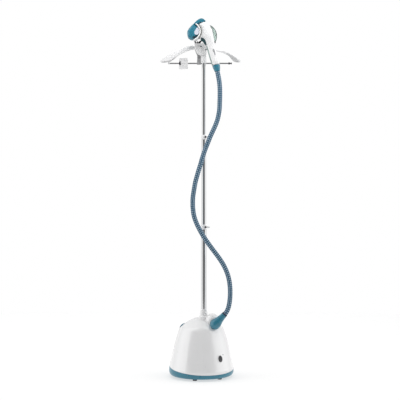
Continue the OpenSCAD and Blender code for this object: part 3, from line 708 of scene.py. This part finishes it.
BASE_X = 4
MAST = (15, -20)
HUB = (66, -80, 246.5)
ARM_TILT = 43
SEAM_Z, SEAM_TOP, SEAM_TILT, SEAM_AZIMUTH = 46, 49, 6.8, -72
BEAD_R, BEAD_DROP = 0.75, 0.3
CASING = [(145.3, 17.5), (147.2, 24), (147.5, 32), (147.5, 40), (145, 50), (139.4, 80)]


def at_arm(profile, name, material, **more):
    return revolve(name, profile, HUB, "base", material, tilt=ARM_TILT, **more)


def add_elbow():
    bend = [math.radians(a) for a in range(9, 91, 9)]
    hub = [(0, -23)] + [(23 * math.sin(a), -23 * math.cos(a)) for a in bend]
    hub += [(23, 14), (22.4, 14.8), (22.4, 15.6), (23, 16.4), (23, 19.5), (21.5, 21), (0, 21)]
    revolve("hose_elbow_hub", hub, HUB, "base", axis="Y", replaces=("hose_elbow",), sharp=50, **TEAL_LOOK)
    arm = [(0, 1), (22.9, 2), (22.9, 8), (22.5, 12.2), (21.9, 12.6), (20.4, 12.8), (20.4, 14.2),
           (21.4, 14.4), (20.6, 18), (19.2, 22), (17.6, 27), (16.6, 31), (16.0, 33.0), (14.6, 33.4),
           (14.6, 34.2), (0, 34.2)]
    at_arm(arm, "hose_elbow_arm", sharp=50, **TEAL_LOOK)
    sleeve = [(11.5, 34.2), (15.6, 34.2), (16, 34.8), (16, 36.2), (15.4, 36.9), (14.9, 38), (14.5, 45.4),
              (13.9, 46.2), (13.5, 46.8), (13.5, 48.9), (13.9, 49.4), (13.9, 50.4), (13.5, 51.2),
              (13.4, 57.2), (12.9, 58), (11.5, 58), (11.5, 34.2)]
    at_arm(sleeve, "hose_sleeve_turned", replaces=("hose_sleeve",), sharp=50, **TEAL_LOOK)
    at_arm(soft_ring(11.2, 12.7, 57.4, 66, 0.6), "hose_end_band", NAVY)


def add_collar():
    """The ribbed collar that the mast stands in."""
    profile = [(12.6, 268), (22.4, 268), (23, 269), (23, 274), (22, 275.4), (20, 277.4), (18.4, 280.6),
               (17.6, 281.4), (15.2, 281.8), (15.2, 283.6), (16.8, 284), (17.2, 284.8), (16.7, 287.6),
               (16.2, 288.2), (14.6, 288.4), (14.6, 290), (16, 290.4), (16.3, 291.2), (15.9, 294.2),
               (15.5, 294.9), (14, 295.1), (14, 296.7), (15, 297.1), (15.3, 297.9), (15, 300.6),
               (14.6, 301.3), (13.6, 301.5), (13.6, 303.1), (14.2, 303.5), (14.4, 304.4), (14, 308.9),
               (13.4, 309.9), (12.6, 310), (12.6, 268)]
    revolve("mast_collar_turned", profile, (*MAST, 0), "base", replaces=("mast_collar",), sharp=50,
            **GLOSS_LOOK)


def casing_radius(z):
    heights, radii = [p[1] for p in CASING], [p[0] for p in CASING]
    return float(np.interp(z, heights, radii))


def add_seam():
    """A pale bead that runs round the casing in the tilted joint between its halves."""
    lean, slope = math.radians(SEAM_AZIMUTH), math.tan(math.radians(SEAM_TILT))
    rings, steps, sides = [], 180, 6
    for k in range(steps):
        a = 2 * math.pi * k / steps
        r = CASING[2][0] - 0.5
        for _ in range(3):
            z = min(SEAM_Z - slope * r * math.cos(a - lean), SEAM_TOP) - BEAD_DROP
            r = casing_radius(z)
        ring = []
        for t in np.arange(sides) * 2 * math.pi / sides:
            reach = r - BEAD_R + BEAD_R * math.cos(t)
            ring.append((BASE_X + reach * math.cos(a), reach * math.sin(a), z + BEAD_R * math.sin(t)))
        rings.append(ring)
    verts = [p for ring in rings for p in ring]
    faces = [[i % len(verts) for i in f] for f in skin(rings + [rings[0]], closed_ends=False)]
    piece("casing_seam_bead", verts, faces, "base", JOINT_AND_SHADE_WHITE, sharp=80)


# ---------- hanger ----------

WING_HINGE = (24, 1497)
ROD_Y, ROD_Z = 2, 1430
WING_WALL = 2.4
# Distance out from the middle, top, bottom and half depth
WING_SECTIONS = [(34, 1509, 1489, 6), (47, 1506.5, 1488, 6), (52, 1505.5, 1486.5, 11), (76, 1500, 1478, 13),
                 (100, 1493, 1466, 15), (120, 1485.5, 1449, 18.5), (137, 1477, 1438, 21.5),
                 (155, 1468.5, 1434, 23), (170, 1461, 1433, 23), (178, 1453, 1433.5, 21),
                 (182.4, 1441, 1435, 17)]
# Lower edges of the right wing, distance out and height: along its rear, and along its front
RIGHT_REAR_EDGE = [(34, 1489), (52, 1486.5), (76, 1483), (91, 1479.5), (112, 1473), (125, 1466.5),
                   (136, 1458), (142.4, 1447), (146.5, 1442), (159, 1435.6), (172, 1434), (182.4, 1435)]
RIGHT_FRONT_EDGE = [(34, 1489), (52, 1486.5), (76, 1483), (91, 1480), (112, 1474.5), (133, 1467),
                    (151, 1456.5), (161, 1448.6), (167, 1441), (174, 1436.5), (182.4, 1435)]
HEAD_OUTLINE = [(-28, 1492), (-25, 1487), (-14.6, 1469), (-4, 1463), (2.5, 1460), (27.5, 1460), (28, 1476),
                (28, 1512), (27, 1515.8), (21, 1519), (0, 1519), (-21, 1519), (-27, 1515.8), (-28, 1512)]
# The opening in the head that each wing folds up in: its middle, half width, half depth, bottom and top
WING_SLOT_X, WING_SLOT_HALF_X, WING_SLOT_HALF_Y = 22.5, 9.5, 6.8
WING_SLOT_Z = (1480.5, 1530)


def smoothstep(x, low, high):
    t = np.clip((x - low) / (high - low), 0, 1)
    return t * t * (3 - 2 * t)


def edge_heights(edge, xs):
    return np.interp(xs, [p[0] for p in edge], [p[1] for p in edge])


def wing_edges(sign, xs):
    """Top, rear bottom, front bottom and half depth of a wing. The right one's lower edges are higher."""
    table = np.array(WING_SECTIONS, float)
    top, rear, half = (np.interp(xs, table[:, 0], table[:, i]) for i in (1, 2, 3))
    front = rear.copy()
    if sign > 0:
        rear = edge_heights(RIGHT_REAR_EDGE, xs)
        front = edge_heights(RIGHT_FRONT_EDGE, xs)
    for row in (top, rear, front, half):
        row[4:-5] = np.convolve(row, np.ones(5) / 5, mode="same")[4:-5]
    return top, rear, front, half


def wing_ring(x, top, rear, front, half, hollow):
    """Points round a wing's section: over it from rear to front, and back inside its wall."""
    over, outer, inner = 17, [], []
    for k in range(over):
        a = math.pi * k / (over - 1)
        shape = math.copysign(abs(math.cos(a)) ** 0.75, math.cos(a))
        base = rear + (front - rear) * float(smoothstep(-shape, -0.2, 0.9))
        arch = math.sin(a) ** 0.8 * (top - base)
        outer.append((x, MAST[1] + shape * half, base + arch))
        inner.append((x, MAST[1] + shape * (half - WING_WALL * (0.15 + 0.85 * hollow)),
                      base + max(arch - WING_WALL, 0) * hollow))
    return outer + inner[::-1]


def wing(side, sign):
    """A wing of the hanger: arched above, flat below, and hollow under its wide end."""
    node = f"wing_{side}"
    name = node + "_moulded"
    xs = np.concatenate([np.linspace(34, 52, 8), np.linspace(55, 176, 44), np.linspace(177.5, 182.4, 6)])
    rings = []
    for x, *edges in zip(xs, *wing_edges(sign, xs)):
        hollow = float(smoothstep(x, 112, 124) * (1 - smoothstep(x, 172, 178)))
        rings.append(wing_ring(sign * x, *edges, hollow))
    tube(name, rings, node, replaces=(node,), sharp=50, **SATIN_LOOK)
    root = rounded([(20, 1489.4), (16.3, 1493), (16.3, 1501), (20, 1504.6), (27, 1504.8), (44, 1506),
                    (46, 1489.2), (30, 1489.2)]) * (sign, 1)
    pillow(name + "_hinge", root, MAST[1], 5.9, 1.6, node, grid=1.6, crown=0, **SATIN_LOOK)


def cut_away(obj, low, high):
    """Cuts a box, given by its two corners in millimetres, out of a closed piece."""
    made = box_between(np.array(low) * MM, np.array(high) * MM)
    mesh = bpy.data.meshes.new("cutter")
    made.to_mesh(mesh)
    made.free()
    cutter = add_object("cutter", mesh)
    cut = obj.modifiers.new("cut", "BOOLEAN")
    cut.operation = "DIFFERENCE"
    cut.solver = "EXACT"
    cut.object = cutter
    bpy.context.view_layer.update()
    result = bpy.data.meshes.new_from_object(obj.evaluated_get(bpy.context.evaluated_depsgraph_get()))
    obj.modifiers.clear()
    obj.data = result
    obj.data.set_sharp_from_angle(angle=math.radians(40))
    bpy.data.objects.remove(cutter)


def add_head():
    covers = shell_halves("head", rounded(HEAD_OUTLINE), MAST[1], 0.1, 15.9, 6.5, "mast_top", 0.12)
    for cover in covers:
        for x in (-WING_SLOT_X, WING_SLOT_X):
            cut_away(cover, (x - WING_SLOT_HALF_X, MAST[1] - WING_SLOT_HALF_Y, WING_SLOT_Z[0]),
                     (x + WING_SLOT_HALF_X, MAST[1] + WING_SLOT_HALF_Y, WING_SLOT_Z[1]))
    # Dark teal patches on the head's slots: painted shade inside the openings
    for i, (x, y, z, turn) in enumerate([(2.2, -35.9, 1501.3, 6), (25, -34.4, 1487.2, -4)]):
        slot_line = rounded(turned(box_outline(-4.4, 4.4, -1.9, 1.9), (x, z), turn))
        pillow(f"head_slot_{i}", slot_line, y, 1.0, 0.8, "mast_top", SHADE_TEAL, grid=0.9, crown=0)
    for sign, name, stands_for in ((-1, "left", ("wing_pins",)), (1, "right", ())):
        revolve(f"wing_pin_{name}", soft_cylinder(2.9, -27, -13, 0.5),
                (sign * WING_HINGE[0], 0, WING_HINGE[1]), "mast_top", axis="Y", steps=24,
                replaces=stands_for, **STEEL_LOOK)
    block("head_ledge", (-27, -61.9, 1509), (0, -34, 1516.5), 1.0, "mast_top", SATIN)
    socket = [(9.2, 1428), (11.2, 1428), (12, 1428.8), (12, 1433.6), (11.4, 1434.2), (11.4, 1435.6),
              (12, 1436.2), (12, 1459), (11.5, 1459.6), (9.2, 1459.6), (9.2, 1428)]
    revolve("head_socket_turned", socket, (*MAST, 0), "mast_top", replaces=("head_socket",), **SATIN_LOOK)
    # The grey of the post stands in for the shadow on its side: painted shade
    post = eased_corners([(-25, 1488), (-25, 1500), (0, 1500), (0, 1478), (2, 1462), (2, 1424), (-17, 1424),
                          (-15.6, 1440), (-14.6, 1464)], 2)
    pillow("rod_post_moulded", post, 1.5, 5.4, 2.2, "mast_top", replaces=("rod_post",), crown=0.05, grid=2.0,
           **GREY_LOOK)


def on_rod(name, profile, body, x=0, steps=32, **more):
    """A piece turned round the trouser rod."""
    revolve(name, profile, (x, ROD_Y, ROD_Z), body, axis="X", steps=steps, **more)


def add_rod():
    cap = [(0, 0), (3.2, 0), (4.0, 0.6), (4.4, 1.8), (4.4, 9), (4.0, 9.9), (3.0, 10), (0, 10)]
    on_rod("rod_end_cap_turned", cap, "mast_top", x=-149, replaces=("rod_end_cap",), **SATIN_LOOK)
    stop = soft_ring(3.02, 5, 128, 134, 0.8)
    on_rod("rod_stop_ring_turned", stop, "mast_top", replaces=("rod_stop_ring",), **BLACK_LOOK)
    tip = [(3.02, 138), (3.9, 138.4), (4, 139.2), (4, 142), (3.2, 143.2), (0, 143.5)]
    on_rod("rod_tip", tip, "mast_top", **BLACK_LOOK)


def add_clip_plate(node, out, x0, x1, z0, z1):
    """A ribbed plate of the clip; out is -1 for the one in front of the rod and 1 for the one behind."""
    name, body = f"{node}_plate", "clip" if node == "clip_back" else "clip_jaw"
    notch, y_mid = 9.6, ROD_Y + out * 6.8
    line = eased_corners([(x0, z0), (x1, z0), (x1, z1), (x0, z1), (x0, ROD_Z + notch),
                          (x0 + 9.2, ROD_Z + notch), (x0 + 9.2, ROD_Z - notch), (x0, ROD_Z - notch)], 1.6)
    pillow(name, line, y_mid, 1.2, 1.0, body, replaces=(node,), grid=2, crown=0, **SATIN_LOOK)
    for i in range(1, 6):
        x = x0 + 3 + 6.8 * i
        rib = eased_corners(box_outline(x - 1, x + 1, z0 + 3, z1 - 4), 0.8)
        pillow(f"{name}_rib_{i}", rib, y_mid + out, 1.1, 0.8, body, grid=1.5, crown=0, **SATIN_LOOK)
    near, far = sorted((ROD_Y + out * 0.3, ROD_Y + out * 6))
    # The lip's grey is painted shade on the clip's inner, shadowed face
    block(f"{name}_lip", (x0 + 0.6, near, z0 + 0.4), (x1 - 0.6, far, z0 + 5), 0.6, body, JOINT_AND_SHADE_WHITE)


def add_clip():
    """Two ribbed plates on the trouser rod, cut away at the left round a black boss."""
    x0, x1, top = -98, -58, 1453.5
    add_clip_plate("clip_back", 1, x0, x1, 1405.5, top)
    add_clip_plate("clip_jaw", -1, x0, x1, 1403.5, top)
    on_rod("clip_boss", soft_ring(3.1, 8.8, x0, x0 + 7.4, 0.8), "clip", steps=48,
           material=MATERIALS["black_plastic"])
    block("clip_boss_web", (x0 + 2, ROD_Y + 4, ROD_Z - 12), (x0 + 7, ROD_Y + 6.4, ROD_Z + 12), 0.5, "clip",
          SATIN)
    barrels = [(x0 + 0.2, x0 + 8.8, "clip"), (x1 - 8.8, x1 - 0.2, "clip"), (x0 + 10.2, x1 - 10.2, "clip_jaw")]
    for i, (a, b, body) in enumerate(barrels):
        on_rod(f"clip_barrel_{i}", soft_ring(3.1, 5.2, a, b, 0.5), body, **SATIN_LOOK)
        near, far = (ROD_Y + 3, ROD_Y + 6.4) if body == "clip" else (ROD_Y - 6.4, ROD_Y - 3)
        block(f"clip_web_{i}", (a + 0.3, near, ROD_Z - 3.8), (b - 0.3, far, ROD_Z + 3.8), 0.5, body, SATIN)
    add_clip_spring(x0 + 9.05)


def add_clip_spring(x):
    turns, coil_r, wire_r, steps, run = 5, 4.45, 0.09, 100, 0.9
    rings = []
    for k in range(steps + 1):
        t = 2 * math.pi * turns * k / steps
        out = np.array([0, math.cos(t), math.sin(t)])
        centre = np.array([x + run * k / steps, ROD_Y, ROD_Z]) + coil_r * out
        rings.append([tuple(centre + wire_r * (math.cos(u) * out * 4 + math.sin(u) * np.array([1, 0, 0])))
                      for u in np.arange(6) * math.pi / 3])
    tube("clip_spring", rings, "clip", MATERIALS["steel"], sharp=80)


def add_cradle():
    for i, (x, stands_for) in enumerate(((-23.4, ("handset_cradle",)), (-13.4, ()))):
        revolve(f"cradle_peg_{i}", soft_cylinder(3, 0, 22.4, 1.0), (x, -84, 1514), "mast_top", axis="Y",
                steps=32, replaces=stands_for, **BLACK_LOOK)
    # A black hook drawn over the patch of shade under the trigger: its black is partly the hook's own and
    # partly painted shade
    hook_and_shade = eased_corners([(-9.6, 1511), (-2, 1511), (4.6, 1518), (4.6, 1524), (-1, 1523), (-9.6, 1517)], 1.2)
    pillow("cradle_hook_and_shade", hook_and_shade, -65.8, 4.2, 1.2, "mast_top", grid=1.2, crown=0, **BLACK_LOOK)


def open_curve(points, count):
    """Points spread evenly along an open line, its corners softened."""
    p = np.array(points, float)
    for _ in range(2):
        soft = np.stack([0.75 * p[:-1] + 0.25 * p[1:], 0.25 * p[:-1] + 0.75 * p[1:]], axis=1).reshape(-1, 2)
        p = np.vstack([p[:1], soft, p[-1:]])
    return resampled(p, count)[0]


def round_wire(points, r, sides, stretch_y=1.0):
    """Rings of a rod along a line that lies near a plane of constant Y, smaller towards its ends."""
    line = np.array(points, float)
    ends = np.minimum(np.arange(len(line)), np.arange(len(line))[::-1])
    rings = []
    for p, across, end in zip(line, directions(line)[1], ends):
        size = r * (0.55, 0.88, 1.0)[min(end, 2)]
        rings.append([tuple(p + size * (math.cos(u) * across + stretch_y * math.sin(u) * np.array([0, 1, 0])))
                      for u in np.arange(sides) * 2 * math.pi / sides])
    return rings


def add_tufts(centre, pad):
    """Short bristles on the brush's front face, in rows that follow its frame."""
    random.seed(4)
    verts, faces = [], []
    for row in range(7):
        r = 48.6 - 2.3 * row
        for k in range(40):
            a = math.radians(-26 + 84 * (k + 0.5 * (row % 2)) / 40)
            x, z = centre[0] + r * math.cos(a), centre[1] + r * math.sin(a)
            spot = np.array([[x, z]])
            if not inside(pad, spot)[0] or distance_to(pad, spot)[0] < 1.4:
                continue
            lean = (random.uniform(-0.3, 0.3), random.uniform(-0.3, 0.3))
            first = len(verts)
            for y, size, shift in ((12.6, 0.62, 0), (8.7, 0.45, 1)):
                at_x, at_z = x + shift * lean[0], z + shift * lean[1]
                for u in np.arange(5) * 2 * math.pi / 5:
                    verts.append((at_x + size * math.cos(u), y, at_z + size * math.sin(u)))
            for j in range(5):
                m = (j + 1) % 5
                faces.append([first + j, first + m, first + 5 + m, first + 5 + j])
            faces.append([first + j for j in range(5)][::-1])
            faces.append([first + 5 + j for j in range(5)])
    piece("brush_bristles", verts, faces, "brush", BRISTLE, sharp=60)


BRUSH_CENTRE = (20.3, 1557)
BRUSH_Y = 17.6


def add_brush():
    arc_band("brush_frame_rim", BRUSH_CENTRE, 52.6, 55.3, 8.4, 24.4, -32, 64, 0.8, "brush",
             replaces=("brush_frame",), **BRUSH_LOOK)
    inner = [(62, 1532), (57, 1538), (54, 1547), (54.5, 1558), (57, 1570), (56.5, 1581), (53, 1592),
             (46, 1600)]
    pad = rounded(inner + arc(BRUSH_CENTRE, 52.8, 60, -28, 8), 1)
    pillow("brush_pad", pad, BRUSH_Y, 6.4, 3.0, "brush", MINT, grid=1.8)
    lip = round_wire([(x, BRUSH_Y, z) for x, z in open_curve(inner, 40)], 1.5, 8, stretch_y=3.8)
    tube("brush_lip", lip, "brush", sharp=70, **BRUSH_LOOK)
    add_tufts(BRUSH_CENTRE, pad)
    foot = rounded(box_outline(60.5, 69.5, 1522.4, 1531))
    pillow("brush_foot", foot, 8.4, 4.0, 1.4, "brush", grid=1.4, **BLACK_LOOK)
    arm = rounded([(18, 1506), (28, 1506), (70, 1514), (70, 1522), (26, 1517), (18, 1517)])
    pillow("brush_holder_arm", arm, 8.2, 3.8, 1.4, "mast_top", replaces=("brush_holder",), grid=2,
           **SATIN_LOOK)
    block("brush_holder_root", (18, -5, 1506.2), (27, 6, 1516.8), 1.2, "mast_top", SATIN)
    pin = soft_cylinder(1.95, 1519, 1529.9, 0.6)
    revolve("brush_holder_pin", pin, (65, 8.2, 0), "mast_top", SATIN, steps=24)


# ---------- handset ----------

HAND_Y = -82
RING = (-41.3, 1557.6)
CUFF_TILT = -12


def hand_half(z):
    """Half the handset's depth: its head is deeper than its handle."""
    return 18 + 8 * smoothstep(z, 1492, 1545)


def add_handset():
    body_line = [(-12, 1591.5), (-3, 1596), (6, 1601.5), (19, 1605), (24, 1604), (29.6, 1596), (41.7, 1580),
                 (51.5, 1565), (57, 1545), (61.5, 1518), (65, 1500), (75, 1458), (80, 1440), (88, 1412.8),
                 (70, 1409), (52, 1405.2), (44, 1432), (37, 1456), (29, 1484), (26, 1500), (22.5, 1517),
                 (15.5, 1528), (5, 1532), (-8, 1530)]
    line = rounded(body_line + arc(RING, 43.2, -40, 50, 9))
    shell_halves("handset", line, HAND_Y, 0.15, hand_half, 15, "handset", 0.14)
    add_steam_head()
    strip = rounded([(25.2, 1496), (31.6, 1497), (43.5, 1458), (57, 1409.5), (51.9, 1406.4), (43.6, 1432),
                     (36.6, 1456), (28.4, 1484)])
    pillow("handle_grip_strip", strip, HAND_Y, 16.4, 2.4, "handset", GRIP, grid=1.3, crown=0.05)
    # The trigger's very dark teal is painted shade
    trigger = rounded([(0, 1530), (0, 1522), (7, 1516), (13, 1511), (18, 1504), (20, 1499), (29, 1499),
                       (30, 1512), (25, 1524), (21, 1538), (13, 1538), (6, 1534)])
    pillow("trigger_lever", trigger, HAND_Y, 8, 2.6, "trigger", replaces=("trigger",), grid=1.6,
           **slotted("trigger_plastic"))


def add_steam_head():
    cover = rounded([(-31, 1595.3), (-33, 1594.7), (-46, 1579.3), (-59, 1563.9), (-60.2, 1557), (-59.3, 1543),
                     (-56.4, 1532), (-50, 1526), (-42, 1521.8)] + arc(RING, 36.1, -80, 66, 12))
    pillow("steam_head_teal", cover, HAND_Y, 28, 15, "handset", replaces=("steam_head_cover",), crown=0.12,
           **TEAL_LOOK)
    cap = rounded([(-22, 1586.5), (-31, 1590), (-31.4, 1595), (-22, 1604.4), (-13.5, 1612), (-4, 1617.6),
                   (3, 1618.8), (9, 1618.5), (17, 1614.2), (23.5, 1607.5), (24, 1603.5), (18, 1603.5),
                   (6, 1600.5), (-4, 1594.6), (-14, 1590.5)])
    pillow("steam_head_cap", cap, HAND_Y, 26, 9, "handset", **TEAL_LOOK)
    arc_band("steam_head_loop", RING, 36.3, 42.3, HAND_Y - 28.8, HAND_Y + 28.8, -75, 60, 2.6, "handset",
             replaces=("steam_head_ring",), **SATIN_LOOK)
    arc_band("steam_head_gasket", RING, 42.4, 45.6, HAND_Y - 25.6, HAND_Y + 25.6, -38, 47, 1.2, "handset",
             GASKET)
    window = rounded([(-29, 1553), (-21, 1568), (-14, 1576), (-9.5, 1572), (-7, 1563), (-6.6, 1553),
                      (-9.5, 1544), (-18, 1540.5), (-27, 1545)])
    pillow("steam_head_window", window, HAND_Y - 25.8, 2.6, 2.0, "handset", WINDOW, grid=1.6)
    # A near-black teal patch below the steam head: painted shadow where its underside is in shade
    shaded_underside = rounded([(-37, 1531), (-30, 1526.4), (-20, 1527), (-11.5, 1533.5), (-8, 1541), (-12, 1542.4),
                      (-20, 1537.6), (-31, 1535.6)])
    pillow("steam_head_painted_shade", shaded_underside, HAND_Y - 24.6, 2.6, 2.0, "handset", SHADE_TEAL, grid=1.6)


PLATE_HALF_X, PLATE_HALF_Y, PLATE_CORNER = 16.5, 14, 7
PLATE_THICK, PLATE_SKIRT, PLATE_EDGE = 2.6, 4, 2.0
STEAM_HOLE_R, STEAM_HOLE_DEPTH = 1.35, 1.6
STEAM_HOLES = [(i * 7, j * 7.5) for i in (-1, 0, 1) for j in (-1, 0, 1)]


def plate_point(x, y):
    """A point of the steam plate: inside its rounded corners, lower near its rim and in its holes."""
    over_x = max(abs(x) - PLATE_HALF_X + PLATE_CORNER, 0)
    over_y = max(abs(y) - PLATE_HALF_Y + PLATE_CORNER, 0)
    reach = math.hypot(over_x, over_y)
    if reach > PLATE_CORNER:
        x = math.copysign(PLATE_HALF_X - PLATE_CORNER + over_x * PLATE_CORNER / reach, x)
        y = math.copysign(PLATE_HALF_Y - PLATE_CORNER + over_y * PLATE_CORNER / reach, y)
    rim = max(min(PLATE_CORNER - reach, PLATE_HALF_X - abs(x), PLATE_HALF_Y - abs(y)), 0)
    z = PLATE_THICK * float(dome(rim / PLATE_EDGE))
    for hole_x, hole_y in STEAM_HOLES:
        away = math.hypot(x - hole_x, y - hole_y)
        z -= STEAM_HOLE_DEPTH * math.exp(-((away / STEAM_HOLE_R) ** 4))
    return x, y, z


def add_steam_plate():
    """The metal sole on the slanted face, with its steam holes sunk in."""
    made = bmesh.new()
    xs = np.arange(-PLATE_HALF_X, PLATE_HALF_X + 0.1, 1.0)
    ys = np.arange(-PLATE_HALF_Y, PLATE_HALF_Y + 0.1, 1.0)
    grid = []
    for x in xs:
        column = []
        for y in ys:
            # x isn't reset between points, so a side that a corner has drawn in stays drawn in
            x, y, z = plate_point(x, y)
            column.append(made.verts.new((x, y, z)))
        grid.append(column)
    for here, there in zip(grid, grid[1:]):
        for j in range(len(ys) - 1):
            made.faces.new([here[j], there[j], there[j + 1], here[j + 1]])
    down = bmesh.ops.extrude_edge_only(made, edges=[e for e in made.edges if e.is_boundary])
    for v in down["geom"]:
        if isinstance(v, bmesh.types.BMVert):
            v.co.z -= PLATE_SKIRT
    points, faces = points_and_faces(made)
    points = place_axis(points, (-44.5, HAND_Y, 1577.3), -48.9)
    piece("steam_plate_sole", points, faces, "handset", replaces=("steam_plate",), **STEEL_LOOK)


def add_cuff():
    cuff = [(11.2, -26), (12.4, -26), (13, -25.4), (13.6, -21.4), (14.2, -18.4), (14.0, -17.6), (14.8, -17),
            (15.4, -14), (15.2, -13.2), (15.9, -12.6), (16.6, -8), (17.3, -3), (17.6, -0.6), (17.2, 0),
            (11.2, 0), (11.2, -26)]
    revolve("hose_cuff_turned", cuff, (70, HAND_Y, 1409), "handset", tilt=CUFF_TILT, replaces=("hose_cuff",),
            sharp=60, **TEAL_LOOK)


def add_steam_lock():
    origin, lean = (60, 0, 1468), 15.8
    track = turned([(-3.6, -15), (3.6, -15), (4.4, 0), (3.6, 15), (-3.6, 15), (-4.4, 0)], (60.6, 1467), lean)
    pillow("steam_lock_track", rounded(track), -97.6, 1.8, 1.4, "handset", TRACK, grid=1.4, crown=0)
    block("steam_lock_knob", (-2.8, -102, -1), (2.8, -97, 12), 1.2, "steam_lock", tilt=-lean, origin=origin,
          replaces=("steam_lock",), **GREY_LOOK)
    for i in range(3):
        block(f"steam_lock_ridge_{i}", (-2.3, -102.6, 1 + 3 * i), (2.3, -101.6, 2.4 + 3 * i), 0.35,
              "steam_lock", MATERIALS["grey_plastic"], -lean, origin)


# ---------- mast ----------

def add_clamp(name, z, r, bore, body, lever_body):
    """A clamp round the mast: its ring, the boss in front, the lever across it and the pin's head."""
    x, y = MAST
    ring = [(bore, z - 11), (r - 0.9, z - 11), (r, z - 10), (r, z - 5.4), (r - 0.5, z - 5), (r - 0.5, z - 4),
            (r, z - 3.6), (r, z + 7.4), (r - 1.2, z + 10), (r - 2.6, z + 11), (bore, z + 11), (bore, z - 11)]
    revolve(f"{name}_clamp_ring", ring, (*MAST, 0), body, replaces=(f"{name}_clamp_collar",), sharp=45,
            **SATIN_LOOK)
    block(f"{name}_clamp_boss", (x + 1, y - 15.4, z - 6.5), (x + 12, y - bore - 0.2, z + 6.5), 1.2, body,
          SATIN)
    lower = [(0.6, 4), (3, 6.2), (11, 6.2), (14, 4), (26, 4)]
    lever = [(x + a, z - b) for a, b in lower] + [(x + 28.2, z)] + [(x + a, z + b) for a, b in lower[::-1]]
    pillow(f"{name}_clamp_toggle", rounded(lever), -37.6, 2.2, 1.3, lever_body,
           replaces=(f"{name}_clamp_lever",), grid=1.5, **TOGGLE_LOOK)
    revolve(f"{name}_clamp_pin_head", soft_cylinder(4.4, -42.2, -40.0, 0.7), (x + 7, 0, z), body, axis="Y",
            steps=32, **GREY_LOOK)


# ---------- CAD nodes that stay ----------

SLOT_NODES = {
    "teal_plastic": ("lower_casing", "tank_rim"),
    "white_gloss": ("upper_casing", "button_bezel", "tank_valve"),
    "rubber": ("base_feet", "cord_gland"),
    "steel": ("base_screws",),
    "mast_alloy": ("mast_lower_tube", "mast_mid_tube", "mast_top_tube"),
    "grey_plastic": ("mast_socket", "drain_plug", "hose_port", "lower_clamp_pin", "upper_clamp_pin",
                     "mid_tube_bush", "top_tube_bush", "tank_cap"),
    "boiler_alloy": ("boiler_body",),
    "element": ("heating_element",),
    "black_plastic": ("thermostat", "microswitch", "power_button"),
    "rod_metal": ("trouser_rod",),
    "silicone": ("steam_pipe", "water_inlet_pipe"),
    "tank_clear": ("water_tank",),
    "lens": ("indicator_lens",),
}
SLOT_OF = {node: slot for slot, nodes in SLOT_NODES.items() for node in nodes}


def dress_cad_nodes():
    """Puts the slot's material on each CAD node that stays."""
    for name, slot in SLOT_OF.items():
        materials = NODES[name].data.materials
        for i in range(len(materials)):
            materials[i] = MATERIALS[slot]
        if not materials:
            materials.append(MATERIALS[slot])


add_camera()
add_hose()
add_studio()
add_lamp("overhead", (0, -0.6, 3.2), (0, 0, 0.6), 2.4, 23)
add_lamp("hanger_fill", (0.3, -1.2, 2.1), (0, -0.05, 1.5), 0.7, 1.65).spread = math.radians(70)
add_floor()
add_elbow()
add_collar()
add_seam()
add_clamp("lower", 682, 14, 10.9, "base", "lower_lever")
add_clamp("upper", 1091, 12.8, 9.2, "mast_mid", "upper_lever")
wing("left", -1)
wing("right", 1)
add_head()
add_rod()
add_clip()
add_cradle()
add_brush()
add_handset()
add_steam_plate()
add_cuff()
add_steam_lock()
dress_cad_nodes()
bpy.context.scene.view_settings.view_transform = "Standard"
